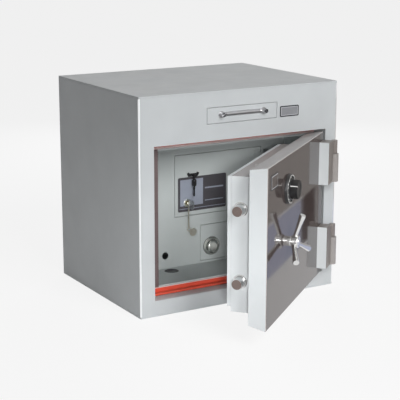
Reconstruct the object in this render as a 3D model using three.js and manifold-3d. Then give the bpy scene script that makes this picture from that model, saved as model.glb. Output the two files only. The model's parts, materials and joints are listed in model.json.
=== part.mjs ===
// A drop safe with a deposit drawer: millimetres, +Z up, the door's side faces -Y.
// The origin is the centre of the base. The main door stands ajar, as it is stored.
import * as THREE from 'three';
import { mergeVertices } from 'three/addons/utils/BufferGeometryUtils.js';
import Module from 'manifold-3d';

const wasm = await Module();
wasm.setup();

// Cabinet
const WIDTH = 600;
const DEPTH = 470;
const HEIGHT = 566;
const SKIN = 4; // sheet of the sides, top, base and back
const FRONT_SHEET = 6;
const EDGE_RADIUS = 4; // bend of the upright front edges
const WALL = 42; // barrier wall with both skins
const LINER_SHEET = 2;
const FLOOR_Z = 60; // top of the compartment's floor
const CEILING_DROP = 30; // from the top of the cabinet to the compartment's ceiling

// Doorway and its rebate
const LEFT_STILE = 42;
const RIGHT_STILE = 36;
const SILL_Z = 42;
const DOOR_HEAD = 127; // from the cabinet's top down to the doorway
const DOORWAY_HEIGHT = HEIGHT - SILL_Z - DOOR_HEAD;
const REVEAL_DEPTH = 50;
const REVEAL_SHEET = 3;
const BULKHEAD = 8; // plate that the bolts catch behind
const STOP_SIDE = 36; // how far that plate reaches into the doorway at the sides
const STOP_RAIL = 22; // and at its top and bottom
const SEAL_THICK = 3;
const SEAL_MARGIN = 2;
const SEAL_LIP = 5.5; // bare edge of the stop beside the seal
const SEAL_FOOT = { depth: 16, height: 5.5 }; // along the sill, under the slab's leaning edge

// Main door
const OPEN_ANGLE = 39.6; // how far the door stands open
const DOOR_SIDE_GAP = 2; // at the opening side
const DOOR_HINGE_GAP = 4;
const DOOR_FOOT_GAP = 4;
const DOOR_TOP_GAP = 3;
const SLAB = 46;
const SLAB_TAPER = 8; // each edge of the slab leans in by this towards its back
const SLAB_CHAMFER = 1.2;
const CASE_SHEET = 4;
const CASE_DEPTH = 57;
const CASE_FREE_INSET = 50; // from the slab's front edge to the case
const CASE_HINGE_INSET = 36;
const CASE_TOP_INSET = 34;
const CASE_BOTTOM_INSET = 24;
const CASE_LIP = 20;
const COVER_DEPTH = 10;
const COVER_SHEET = 2;
const COVER_MARGIN = 1;
const COVER_RAISE = 13; // the cover's lower edge above the case's

// Hinges
const HINGE_OUT = 28; // pin in front of the door's face
const HINGE_BESIDE = 14; // pin beside the door's hinge edge
const HINGE_HEIGHT = 114;
const HINGE_INSET = 23; // from the door's upper and lower edges
const BLOCK_REACH = 40; // how far the block lies on the door's face
const KNUCKLE_HEIGHT = 36; // the door's share of the barrel
const KNUCKLE_RADIUS = 8;
const BARREL_RADIUS = 12;
const HINGE_PIN_RADIUS = 5;
const HINGE_SLIT = 1;
const HINGE_CHAMFER = 1.5;
const LEAF_SHEET = 6;
const LEAF_PAST = 8; // how far the leaf reaches past the pin on each side
const BARREL_WEB = 14; // solid foot between the barrel and its leaf

// Bolt work
const BOLT_RADIUS = 13;
const BOLT_OUT = 28; // how far the bolts stand out of the case
const BOLT_DEPTH = 80; // bolt line behind the door's face
const BOLT_DROP = 112.5; // upper bolt below the door's top
const BOLT_RISE = 100.2; // lower bolt above the door's foot
const BOLT_CHAMFER = 1.5;
const SLEEVE_WALL = 2.2;
const SLEEVE_FLANGE = 2.3;
const SLEEVE_FLANGE_THICK = 3;
const SLEEVE_RUN = 8; // length of a sleeve behind the case's sheet
const DOG_RADIUS = 10;
const DOG_OUT = 14;
const DOG_SHOULDER = 4;
const DOG_FOOT = 6; // length of the shoulder behind the case's sheet
const CARRIER_THICK = 10;
const CARRIER_WIDTH = 28;
const CARRIER_PAST = 22; // past each bolt's centre
const CARRIER_FROM_CASE = 36; // from the case's free side to the carrier
const SPIGOT_RADIUS = 6;
const SPIGOT_PAST = 6; // end of the spigot behind the carrier
const GEAR_MODULE = 1.5;
const GEAR_TEETH = 24;
const GEAR_WIDTH = 10;
const TOOTH_TIP = 0.95 * GEAR_MODULE;
const TOOTH_ROOT = 1.25 * GEAR_MODULE;
const BACKLASH = 0.35;
const RACK_HEIGHT = 12;
const RACK_TEETH = 12;
const RACK_LEAD = 8.5; // teeth of the rack before the pinion's centre
const RACK_TAIL = 64; // plain end of the rack past its teeth
const STOP_WIDTH = 16; // post that the lock's bolt drops beside
const STOP_HEAD = 14;
const STOP_GAP = 2;
const STOP_BELOW = 6; // from the lock case down to the post
const GUIDE_LENGTH = 16;
const GUIDE_WALL = 5;
const GUIDE_GAP = 4; // past the last tooth when the bolts are drawn

// Handle and combination dial, from the door's opening edge
const HANDLE_X = 176;
const HANDLE_DROP = 130; // handle below the dial
const SPINDLE_RADIUS = 8;
const SPINDLE_IN_HUB = 8;
const SPINDLE_TAIL = 4; // past the pinion
const ESCUTCHEON_RADIUS = 12;
const ESCUTCHEON_THICK = 11;
const ESCUTCHEON_EDGE = 2;
const HUB_RADIUS = 15.5;
const HUB_THICK = 18;
const HUB_EDGE = 2;
const HUB_FACE_RADIUS = 8; // where its face starts to dome
const HUB_DOME = 2;
const ARM_REACH = 69;
const ARM_DISH = 18; // how far an arm's end stands in front of its root
const ARM_ROOT_RADIUS = 5.5;
const ARM_END_RADIUS = 8;
const ARM_EDGE = 1.5;
const ARM_STRAIGHT = 0.35; // share of an arm before it swells
const ARM_COUNT = 3;
const ARM_LEAN = 2.5; // degrees from upright, towards the opening edge
const DIAL_DROP = 84; // dial below the door's top
const DIAL_RING_RADIUS = 37;
const DIAL_RING_DEPTH = 8;
const DIAL_RING_EDGE = 2;
const DIAL_RING_FLOOR = 2;
const DIAL_GAP = 0.6; // behind the dial
const DIAL_RING_GAP = 1; // round it
const DIAL_SKIRT_RADIUS = 31;
const DIAL_SKIRT_DEPTH = 7;
const KNOB_RADIUS = 23;
const KNOB_DEPTH = 18;
const KNOB_FLUTES = 32;
const FLUTE_DEPTH = 1.4;
const KNOB_RIM = 6;
const KNOB_RECESS = 1.5;
const SKIRT_EDGE = 2;
const DIAL_SPINDLE_RADIUS = 4;
const LOCK_WIDTH = 66;
const LOCK_HEIGHT = 68;
const LOCK_DEPTH = 28;
const LOCK_WALL = 3;
const LOCK_BOLT_WIDTH = 16;
const LOCK_BOLT_DEPTH = 12;
const LOCK_BOLT_HEIGHT = 34;
const LOCK_THROW = 9;
const LOCK_BOLT_BACK = 2; // from the case's front wall to the bolt
const LOCK_BOLT_LOW = 0.5; // its foot above the case's
const CAM_DISC = 21;
const CAM_DISC_THICK = 4;
const CAM_NOTCH = 6;
const CAM_GAP = 1; // from the lock's bolt to the cam

// Deposit drawer
const DRAWER_WIDTH = 211;
const DRAWER_HEIGHT = 40;
const DRAWER_DROP = 43; // from the cabinet's top down to the drawer
const DRAWER_GAP = 1;
const DRAWER_CHAMFER = 1;
const SLEEVE_SHEET = 2;
const SLEEVE_DEPTH = 262; // from the cabinet's face
const TRAY_DEPTH = 250;
const TRAY_SHEET = 1.5;
const TRAY_SIDE_GAP = 5;
const TRAY_UNDER = 2.5;
const TRAY_SLOPE = 16; // fall of the tray's floor towards the back
const RAIL_HEIGHT = 6;
const GATE_SHEET = 2;
const GATE_PIN_RADIUS = 2.5;
const GATE_PIN_DROP = 5; // from the tray's rim to the gate's pin
const GATE_PIN_WALL = 2; // from the tray's back edge to the pin
const GATE_GAP = 1; // under the gate
const PULL_CENTRES = 128;
const PULL_OUT = 28;
const PULL_RADIUS = 5.5;
const PULL_BEND = 14;
const PULL_RAISE = 2; // above the drawer's middle

// Inner panel and its two locker doors, which rise from the compartment's floor
const PANEL_DEPTH = 185; // from the cabinet's face
const PANEL_SHEET = 3;
const LOCKERS_RIGHT = 120; // from the cabinet's right side to both doors
const UPPER_LOCKER = { width: 275, rise: 140.5, height: 168 };
const LOWER_LOCKER = { width: 195, rise: 7, height: 100 };
const LOCKER_GAP = 1.5;
const LOCKER_SHEET = 2.5;
const LOCKER_RETURN = 12;
const LOCKER_PIVOT_OUT = 5; // pivot in front of the panel
const LOCKER_PIVOT_BESIDE = 2;
const LOCKER_BARREL_RADIUS = 3.8;
const LOCKER_PIN_RADIUS = 1.6;
const LOCKER_LEAF = 18;
const LOCKER_LEAF_SHEET = 2;
const LEAF_INSET = 8; // from a locker's corners to its hinge
const LEAF_WEB = 2.5; // thickness of a knuckle's foot
const PANEL_HOLE = { left: 174, rise: 36.5, radius: 10 };
const ANCHOR_HOLE = { left: 180, depth: 161, radius: 20 };

// Locks, keys and plates, from the lower left corner of their locker's door
const KEY_LOCK = { across: 36, up: 36 };
const LOCK_COLLAR_RADIUS = 11;
const LOCK_COLLAR = 5;
const LOCK_BARREL_RADIUS = 9;
const PLUG_RADIUS = 6;
const PLUG_OUT = 1; // in front of the collar
const PLUG_BACK = 24; // how far the plug reaches behind the panel's face
const CAM_LENGTH = 44; // reaches behind the panel when it is turned
const CAM_WIDTH = 12;
const CAM_THICK = 3;
const KEY_NECK = 2.2;
const KEY_NECK_LENGTH = 10;
const KEY_BOW = 24;
const KEY_BOW_RADIUS = 8;
const KEY_BOW_HOLE = { out: 5, radius: 3.2 };
const KEY_THICK = 2.4;
const TAG_STRAP = 64;
const TAG_STRAP_WIDTH = 4;
const TAG_RADIUS = 11;
const TAG_SHEET = 1.6;
const TAG_EYE_WALL = 2.4;
const TAG_STRAP_EDGE = 1.8;
const TAG_LINK = { radius: 6, hole: 3.4, right: 1, drop: 6 };
const TAG_DISC = { right: 14, drop: 9 }; // from the strap and the link
const ROUND_LOCK = { across: 35, up: 38 };
const ROSE_RADIUS = 25;
const ROSE_THICK = 5;
const ROSE_EDGE = 2;
const TURN_RADIUS = 17;
const TURN_OUT = 12;
const TURN_SHAFT = 5;
const TURN_BACK = 2.5; // from the panel to the knob
const TURN_GAP = 1.5;
const TURN_FACE = { edge: 2.5, rim: 6, bevel: 1, side: 4 };
const TURN_SLOT = { width: 2.4, length: 12, depth: 4 };
const TURN_TAIL = 6; // shaft and cam behind the locker's folded edge
const HOOK = { across: 55, up: 112 };
const HOOK_WIDTH = 28;
const HOOK_BAR = { height: 8, thick: 4 };
const HOOK_WING = { width: 6, height: 10, lean: 0.5 };
const HOOK_PIN = 2.2;
const HOOK_OUT = 15;
const HOOK_PIN_DROP = 1; // below the bar's middle
const HOOK_BEAD = { wider: 1.8, long: 2 };
const SPARE_HEAD = { width: 12, height: 21, radius: 5.2, hole: 2.2, holeUp: 5 };
const SPARE_EYE = { wall: 1.6, neck: 2.4, drop: 6 };
const SPARE_BLADE = { width: 5, length: 31, thick: 2.2, inHead: 3 };
const SPARE_BITS = { count: 4, pitch: 4.5, depth: 1.2, first: 4 };
const SPARE_THICK = 4;
const SPARE_CLEAR = 1; // nearer the pin's bead than its middle
const LABEL = { across: 9, up: 11.5, width: 152, height: 95, sheet: 1, radius: 4 };
// The bare plates, from the door's upper left corner and from the drawer's right side
const DOOR_PLATE = { left: 25, drop: 22, width: 56, height: 36.5, sheet: 1.2, radius: 2 };
const FRONT_PLATE = { beside: 9.5, width: 59, height: 28.5, sheet: 1.2, radius: 3 };

const SEAT = 0.3; // joint between two fixed pieces
const RUN = 0.3; // running clearance
const ARC = 28; // sides of a round piece
const PAST = 2; // how far a cutter reaches past what it cuts
const FUSE = 1; // how far the bodies of one piece run into each other before they are joined

// Places that several pieces share
const LEFT = -WIDTH / 2;
const FRONT = -DEPTH / 2;
const BACK = DEPTH / 2;
const doorway = {
  left: LEFT + LEFT_STILE,
  right: -LEFT - RIGHT_STILE,
  low: SILL_Z,
  high: SILL_Z + DOORWAY_HEIGHT,
};
const room = {
  left: LEFT + WALL,
  right: -LEFT - WALL,
  low: FLOOR_Z,
  high: HEIGHT - CEILING_DROP,
  front: FRONT + REVEAL_DEPTH + BULKHEAD,
  back: BACK - WALL,
};
const door = {
  left: doorway.left + DOOR_SIDE_GAP,
  right: doorway.right - DOOR_HINGE_GAP,
  low: doorway.low + DOOR_FOOT_GAP,
  high: doorway.high - DOOR_TOP_GAP,
  front: FRONT,
};
const hinge = { x: door.right + HINGE_BESIDE, y: FRONT - HINGE_OUT };
const boltCase = {
  left: door.left + CASE_FREE_INSET,
  right: door.right - CASE_HINGE_INSET,
  low: door.low + CASE_BOTTOM_INSET,
  high: door.high - CASE_TOP_INSET,
  front: FRONT + SLAB + SEAT,
  back: FRONT + SLAB + CASE_DEPTH,
};
const boltY = FRONT + BOLT_DEPTH;
const UPPER_BOLT_Z = door.high - BOLT_DROP;
const LOWER_BOLT_Z = door.low + BOLT_RISE;
const DIAL_Z = door.high - DIAL_DROP;
const HANDLE_Z = DIAL_Z - HANDLE_DROP;
const carrierX = boltCase.left + CARRIER_FROM_CASE;
const handleX = door.left + HANDLE_X;
const pitchRadius = GEAR_MODULE * GEAR_TEETH / 2;
const pitchStep = Math.PI * GEAR_MODULE;
const rackZ = HANDLE_Z + pitchRadius;
const DRAWER_Z = HEIGHT - DRAWER_DROP - DRAWER_HEIGHT;
const sleeve = {
  side: DRAWER_WIDTH / 2 + DRAWER_GAP,
  low: DRAWER_Z - DRAWER_GAP,
  high: DRAWER_Z + DRAWER_HEIGHT + DRAWER_GAP,
  front: FRONT + FRONT_SHEET,
  back: FRONT + SLEEVE_DEPTH,
};
const panelY = FRONT + PANEL_DEPTH;
const lockerEdges = ({ width, rise, height }) => ({
  left: -LEFT - LOCKERS_RIGHT - width,
  right: -LEFT - LOCKERS_RIGHT,
  low: room.low + rise,
  high: room.low + rise + height,
});
const upperLocker = lockerEdges(UPPER_LOCKER);
const lowerLocker = lockerEdges(LOWER_LOCKER);
const onLocker = (locker, { across, up }) => ({ x: locker.left + across, z: locker.low + up });
const keyLock = onLocker(upperLocker, KEY_LOCK);
const hook = onLocker(upperLocker, HOOK);
const label = onLocker(upperLocker, LABEL);
const roundLock = onLocker(lowerLocker, ROUND_LOCK);

// Solids and booleans

const place = (geometry, x, y, z) => geometry.translate(x, y, z);

const block = (x0, x1, y0, y1, z0, z1) =>
  place(new THREE.BoxGeometry(x1 - x0, y1 - y0, z1 - z0), (x0 + x1) / 2, (y0 + y1) / 2, (z0 + z1) / 2);

function solid(geometry) {
  const bare = geometry.index ? geometry.toNonIndexed() : geometry.clone();
  for (const name of Object.keys(bare.attributes)) {
    if (name !== 'position') bare.deleteAttribute(name);
  }
  const merged = mergeVertices(bare, 1e-4);
  const mesh = new wasm.Mesh({
    numProp: 3,
    vertProperties: merged.attributes.position.array,
    triVerts: Uint32Array.from(merged.index.array),
  });
  return new wasm.Manifold(mesh);
}

function geometryOf(manifold) {
  const mesh = manifold.getMesh();
  const geometry = new THREE.BufferGeometry();
  geometry.setAttribute('position', new THREE.BufferAttribute(Float32Array.from(mesh.vertProperties), 3));
  geometry.setIndex(Array.from(mesh.triVerts));
  const flat = geometry.toNonIndexed();
  flat.computeVertexNormals();
  return flat;
}

const cut = (base, ...cutters) => geometryOf(
  cutters.reduce((body, cutter) => body.subtract(solid(cutter)), solid(base)),
);
const join = (base, ...others) => geometryOf(
  others.reduce((body, other) => body.add(solid(other)), solid(base)),
);

// A round bar between two places on an axis, with another radius at its far end if given.
function bar(axis, radius, from, to, a, b, farRadius = radius, sides = ARC) {
  const geometry = new THREE.CylinderGeometry(farRadius, radius, to - from, sides);
  const middle = (from + to) / 2;
  if (axis === 'x') return place(geometry.rotateZ(-Math.PI / 2), middle, a, b);
  if (axis === 'y') return place(geometry, a, middle, b);
  return place(geometry.rotateX(Math.PI / 2), a, b, middle);
}

// A turned piece about an axis along Y: the profile's pairs are [radius, distance in front of y].
function turned(profile, x, y, z, sides = ARC) {
  const points = profile.map(([radius, out]) => new THREE.Vector2(radius, out));
  const geometry = new THREE.LatheGeometry(points, sides);
  return place(geometry.rotateX(Math.PI), x, y, z);
}

function roundedOutline(width, height, radius) {
  const shape = new THREE.Shape();
  const [w, h] = [width / 2, height / 2];
  shape.moveTo(-w + radius, -h);
  shape.absarc(w - radius, -h + radius, radius, -Math.PI / 2, 0, false);
  shape.absarc(w - radius, h - radius, radius, 0, Math.PI / 2, false);
  shape.absarc(-w + radius, h - radius, radius, Math.PI / 2, Math.PI, false);
  shape.absarc(-w + radius, -h + radius, radius, Math.PI, 1.5 * Math.PI, false);
  return shape;
}

const thickened = (shape, thick, segments) => new THREE.ExtrudeGeometry(
  shape, { depth: thick, bevelEnabled: false, curveSegments: segments },
);

// An outline drawn in X and Z, made thick along Y from y towards the back.
function slab(shape, x, y, z, thick, segments = 6) {
  return place(thickened(shape, thick, segments).rotateX(Math.PI / 2), x, y + thick, z);
}

// An outline drawn in Y and Z, made thick along X from x = 0.
function alongX(shape, thick, segments = 5) {
  return thickened(shape, thick, segments).applyMatrix4(new THREE.Matrix4().makeBasis(
    new THREE.Vector3(0, 1, 0), new THREE.Vector3(0, 0, 1), new THREE.Vector3(1, 0, 0),
  ));
}

function namePlate({ width, height, radius, sheet }, x, y, z) {
  return slab(roundedOutline(width, height, radius), x + width / 2, y, z + height / 2, sheet, 4);
}

// A sheet seen from above with its two front corners rounded, made thick upwards.
function sheetWithFrontCorners(front, back, radius, z, thick) {
  const shape = new THREE.Shape();
  shape.moveTo(LEFT + radius, front);
  shape.absarc(-LEFT - radius, front + radius, radius, -Math.PI / 2, 0, false);
  shape.lineTo(-LEFT, back);
  shape.lineTo(LEFT, back);
  shape.lineTo(LEFT, front + radius);
  shape.absarc(LEFT + radius, front + radius, radius, Math.PI, 1.5 * Math.PI, false);
  return place(thickened(shape, thick, 6), 0, 0, z);
}

// A closed body through upright rectangles that lie one behind the other.
function throughFrames(frames) {
  const corners = frames.flatMap(({ x0, x1, z0, z1, y }) => [
    [x0, y, z0], [x1, y, z0], [x1, y, z1], [x0, y, z1],
  ]);
  const index = [0, 1, 2, 0, 2, 3];
  for (let f = 0; f < frames.length - 1; f += 1) {
    for (let side = 0; side < 4; side += 1) {
      const a = 4 * f + side;
      const b = 4 * f + (side + 1) % 4;
      index.push(a, a + 4, b, b, a + 4, b + 4);
    }
  }
  const last = 4 * (frames.length - 1);
  index.push(last, last + 2, last + 1, last, last + 3, last + 2);
  const geometry = new THREE.BufferGeometry();
  geometry.setAttribute('position', new THREE.Float32BufferAttribute(corners.flat(), 3));
  geometry.setIndex(index);
  return geometry.toNonIndexed();
}

const inset = ({ left, right, low, high }, by, y) => ({
  x0: left + by, x1: right - by, z0: low + by, z1: high - by, y,
});

// Cabinet

const basePlate = () => cut(
  sheetWithFrontCorners(FRONT, BACK, EDGE_RADIUS, 0, SKIN),
  bar('z', ANCHOR_HOLE.radius, -PAST, SKIN + PAST, LEFT + ANCHOR_HOLE.left, FRONT + ANCHOR_HOLE.depth),
);

const topPlate = () => sheetWithFrontCorners(FRONT, BACK, EDGE_RADIUS, HEIGHT - SKIN, SKIN);

const frontPlate = () => cut(
  sheetWithFrontCorners(FRONT, FRONT + FRONT_SHEET, EDGE_RADIUS, SKIN, HEIGHT - 2 * SKIN),
  block(doorway.left, doorway.right, FRONT - PAST, FRONT + FRONT_SHEET + PAST, doorway.low, doorway.high),
  block(-sleeve.side, sleeve.side, FRONT - PAST, FRONT + FRONT_SHEET + PAST, sleeve.low, sleeve.high),
);

const sidePlate = (x0) => block(x0, x0 + SKIN, FRONT + FRONT_SHEET, BACK - SKIN, SKIN, HEIGHT - SKIN);

const backPlate = () => block(LEFT, -LEFT, BACK - SKIN, BACK, SKIN, HEIGHT - SKIN);

const lining = (grow, front, back) => block(
  doorway.left - grow, doorway.right + grow, front, back, doorway.low - grow, doorway.high + grow,
);

const openingLining = () => cut(
  lining(REVEAL_SHEET, FRONT + FRONT_SHEET, FRONT + REVEAL_DEPTH),
  lining(0, FRONT, FRONT + REVEAL_DEPTH + PAST),
);

const sleeveBody = (grow, front, back) => block(
  -sleeve.side - grow, sleeve.side + grow, front, back, sleeve.low - grow, sleeve.high + grow,
);

const bulkheadBody = (grow) => block(
  room.left - LINER_SHEET - grow, doorway.right + REVEAL_SHEET + grow,
  FRONT + REVEAL_DEPTH, room.front,
  doorway.low - REVEAL_SHEET - grow, room.high + LINER_SHEET + grow,
);

const frontBulkhead = () => cut(
  bulkheadBody(0),
  block(
    doorway.left + STOP_SIDE, doorway.right - STOP_SIDE, FRONT, room.front + PAST,
    doorway.low + STOP_RAIL, doorway.high - STOP_RAIL,
  ),
  sleeveBody(SLEEVE_SHEET + SEAT, FRONT, room.front + PAST),
);

const roomBody = (grow) => block(
  room.left - grow, room.right + grow, room.front, room.back + grow, room.low - grow, room.high + grow,
);

const anchorBore = (grow) => bar(
  'z', ANCHOR_HOLE.radius + grow, -PAST, room.low + PAST, LEFT + ANCHOR_HOLE.left, FRONT + ANCHOR_HOLE.depth,
);

const innerLiner = () => cut(
  roomBody(LINER_SHEET),
  block(room.left, room.right, room.front - PAST, room.back, room.low, room.high),
  anchorBore(0),
);

const barrierFill = () => cut(
  block(
    LEFT + SKIN + SEAT, -LEFT - SKIN - SEAT, FRONT + FRONT_SHEET + SEAT, BACK - SKIN - SEAT,
    SKIN + SEAT, HEIGHT - SKIN - SEAT,
  ),
  lining(REVEAL_SHEET + SEAT, FRONT, FRONT + REVEAL_DEPTH + PAST),
  place(bulkheadBody(SEAT), 0, -SEAT, 0),
  place(bulkheadBody(SEAT), 0, SEAT, 0),
  place(roomBody(LINER_SHEET + SEAT), 0, 0, 0),
  sleeveBody(SLEEVE_SHEET + SEAT, FRONT, room.front),
  anchorBore(0),
);

function seal(z) {
  const height = STOP_RAIL - SEAL_LIP - SEAL_MARGIN;
  const back = FRONT + REVEAL_DEPTH;
  return block(
    doorway.left + SEAL_MARGIN, doorway.right - SEAL_MARGIN, back - SEAL_THICK, back, z, z + height,
  );
}

function sillSeal() {
  const z = doorway.low + SEAL_MARGIN;
  const back = FRONT + REVEAL_DEPTH - SEAL_THICK;
  return join(seal(z), block(
    doorway.left + SEAL_MARGIN, doorway.right - SEAL_MARGIN, back - SEAL_FOOT.depth, back + FUSE,
    z, z + SEAL_FOOT.height,
  ));
}

// Deposit drawer and its sleeve

// A tube that is open at both ends, with a low rail along each side of its floor.
function drawerSleeve() {
  const rail = (side) => {
    const [a, b] = [side * sleeve.side, side * (sleeve.side - TRAY_SIDE_GAP + RUN)];
    return block(
      Math.min(a, b), Math.max(a, b), sleeve.front, sleeve.back, sleeve.low - FUSE, sleeve.low + RAIL_HEIGHT,
    );
  };
  const tube = cut(
    sleeveBody(SLEEVE_SHEET, sleeve.front, sleeve.back),
    sleeveBody(0, FRONT, sleeve.back + PAST),
  );
  return join(tube, rail(-1), rail(1));
}

const drawerEdges = {
  left: -DRAWER_WIDTH / 2, right: DRAWER_WIDTH / 2, low: DRAWER_Z, high: DRAWER_Z + DRAWER_HEIGHT,
};

const drawerFront = () => throughFrames([
  inset(drawerEdges, DRAWER_CHAMFER, FRONT),
  inset(drawerEdges, 0, FRONT + DRAWER_CHAMFER),
  inset(drawerEdges, 0, FRONT + FRONT_SHEET - RUN),
]);

const tray = {
  side: sleeve.side - TRAY_SIDE_GAP,
  low: sleeve.low + TRAY_UNDER,
  high: sleeve.high - TRAY_UNDER,
  front: FRONT + FRONT_SHEET,
  back: FRONT + TRAY_DEPTH,
};
const gatePin = { y: tray.back - GATE_PIN_RADIUS - GATE_PIN_WALL, z: tray.high - GATE_PIN_DROP };

// Open above, its floor falls towards the back, where only the gate closes it.
function drawerTray() {
  const wing = sleeve.side - RUN;
  const wingLow = sleeve.low + RAIL_HEIGHT + RUN;
  const body = join(
    block(-tray.side, tray.side, tray.front, tray.back, tray.low, tray.high),
    block(-wing, wing, tray.front, tray.back, wingLow, wingLow + TRAY_SHEET),
  );
  const hollow = new THREE.Shape();
  hollow.moveTo(tray.front + TRAY_SHEET, tray.high + PAST);
  hollow.lineTo(tray.front + TRAY_SHEET, tray.low + TRAY_SHEET + TRAY_SLOPE);
  hollow.lineTo(tray.back + PAST, tray.low + TRAY_SHEET);
  hollow.lineTo(tray.back + PAST, tray.high + PAST);
  const under = new THREE.Shape();
  under.moveTo(tray.front + TRAY_SHEET, tray.low - PAST);
  under.lineTo(tray.front + TRAY_SHEET, tray.low + TRAY_SLOPE);
  under.lineTo(tray.back - TRAY_SHEET, tray.low);
  under.lineTo(tray.back - TRAY_SHEET, tray.low - PAST);
  const across = (shape) => {
    const width = 2 * (tray.side - TRAY_SHEET);
    return place(alongX(shape, width), -width / 2, 0, 0);
  };
  return cut(
    body, across(hollow), across(under),
    bar('x', GATE_PIN_RADIUS + RUN, -wing, wing, gatePin.y, gatePin.z, GATE_PIN_RADIUS + RUN, 16),
  );
}

// The gate hangs from its pin across the tray's open back and lets a deposit push it up.
function trayGate() {
  const width = tray.side - TRAY_SHEET - RUN;
  return join(
    bar('x', GATE_PIN_RADIUS, -tray.side, tray.side, gatePin.y, gatePin.z, GATE_PIN_RADIUS, 16),
    block(
      -width, width, gatePin.y - GATE_SHEET / 2, gatePin.y + GATE_SHEET / 2,
      tray.low + TRAY_SHEET + GATE_GAP, gatePin.z,
    ),
  );
}

// A round bar that leaves the drawer's face, bends, runs across and comes back.
function drawerPull() {
  const [half, out] = [PULL_CENTRES / 2, PULL_OUT];
  const path = new THREE.CurvePath();
  const at = (x, y) => new THREE.Vector3(x, y, 0);
  const [leftLeg, leftTurn] = [at(-half, PULL_BEND - out), at(PULL_BEND - half, -out)];
  const [rightTurn, rightLeg] = [at(half - PULL_BEND, -out), at(half, PULL_BEND - out)];
  path.add(new THREE.LineCurve3(at(-half, -SEAT), leftLeg));
  path.add(new THREE.QuadraticBezierCurve3(leftLeg, at(-half, -out), leftTurn));
  path.add(new THREE.LineCurve3(leftTurn, rightTurn));
  path.add(new THREE.QuadraticBezierCurve3(rightTurn, at(half, -out), rightLeg));
  path.add(new THREE.LineCurve3(rightLeg, at(half, -SEAT)));
  const section = new THREE.Shape().absarc(0, 0, PULL_RADIUS, 0, 2 * Math.PI, false);
  const swept = new THREE.ExtrudeGeometry(section, { steps: 30, extrudePath: path, curveSegments: 6 });
  return place(swept, 0, FRONT, DRAWER_Z + DRAWER_HEIGHT / 2 + PULL_RAISE);
}

// Main door, drawn shut

const doorSlab = () => cut(
  throughFrames([
    inset(door, SLAB_CHAMFER, FRONT),
    inset(door, 0, FRONT + SLAB_CHAMFER),
    inset(door, SLAB_TAPER, FRONT + SLAB),
  ]),
  bar('y', SPINDLE_RADIUS + RUN, FRONT - PAST, FRONT + SLAB + PAST, handleX, HANDLE_Z),
  bar('y', DIAL_SPINDLE_RADIUS + RUN, FRONT - PAST, FRONT + SLAB + PAST, handleX, DIAL_Z),
);

const caseBody = (by, front, back) => block(
  boltCase.left + by, boltCase.right - by, front, back, boltCase.low + by, boltCase.high - by,
);

const boltworkCase = () => cut(
  caseBody(0, boltCase.front, boltCase.back),
  caseBody(CASE_SHEET, boltCase.front - PAST, boltCase.back - CASE_SHEET),
  caseBody(CASE_LIP, boltCase.front, boltCase.back + PAST),
  ...[UPPER_BOLT_Z, LOWER_BOLT_Z].flatMap((z) => [
    bar(
      'x', BOLT_RADIUS + SLEEVE_WALL + 2 * RUN,
      boltCase.left - PAST, boltCase.left + CASE_SHEET + PAST, boltY, z,
    ),
    bar('x', DOG_RADIUS + RUN, boltCase.right - CASE_SHEET - PAST, boltCase.right + PAST, boltY, z),
  ]),
);

function doorBackCover() {
  const front = boltCase.back + SEAT;
  const frame = { ...boltCase, low: boltCase.low + COVER_RAISE - COVER_MARGIN };
  const shell = (by, y0, y1) => block(
    frame.left + by, frame.right - by, y0, y1, frame.low + by, frame.high - by,
  );
  return cut(
    shell(COVER_MARGIN, front, front + COVER_DEPTH),
    shell(COVER_MARGIN + COVER_SHEET, front - PAST, front + COVER_DEPTH - COVER_SHEET),
  );
}

function boltSleeve(z) {
  const out = boltCase.left - SLEEVE_FLANGE_THICK;
  const end = boltCase.left + CASE_SHEET + SLEEVE_RUN;
  const wall = BOLT_RADIUS + RUN + SLEEVE_WALL;
  return cut(
    join(
      bar('x', wall + SLEEVE_FLANGE, out, boltCase.left - SEAT / 2, boltY, z),
      bar('x', wall, out, end, boltY, z),
    ),
    bar('x', BOLT_RADIUS + RUN, out - PAST, end + PAST, boltY, z),
  );
}

// A round bolt with a chamfered nose, and a spigot that passes through the carrier.
function bolt(z) {
  const nose = boltCase.left - BOLT_OUT;
  return join(
    bar('x', BOLT_RADIUS - BOLT_CHAMFER, nose, nose + BOLT_CHAMFER, boltY, z, BOLT_RADIUS),
    bar('x', BOLT_RADIUS, nose + BOLT_CHAMFER, carrierX - SEAT, boltY, z),
    bar('x', SPIGOT_RADIUS, carrierX - FUSE, carrierX + CARRIER_THICK + SPIGOT_PAST, boltY, z),
  );
}

// A fixed pin on the hinge side that hooks behind the bulkhead when the door is shut.
function dogBolt(z) {
  const [sheet, nose] = [boltCase.right - CASE_SHEET, boltCase.right + DOG_OUT];
  return join(
    bar('x', DOG_RADIUS, sheet - DOG_FOOT, nose - BOLT_CHAMFER, boltY, z),
    bar('x', DOG_RADIUS, nose - BOLT_CHAMFER, nose, boltY, z, DOG_RADIUS - BOLT_CHAMFER),
    bar('x', DOG_RADIUS + DOG_SHOULDER, sheet - DOG_FOOT, sheet - SEAT, boltY, z),
  );
}

// Rack teeth point down; their straight flanks lean by the pressure angle.
const PRESSURE = THREE.MathUtils.degToRad(20);

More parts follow.
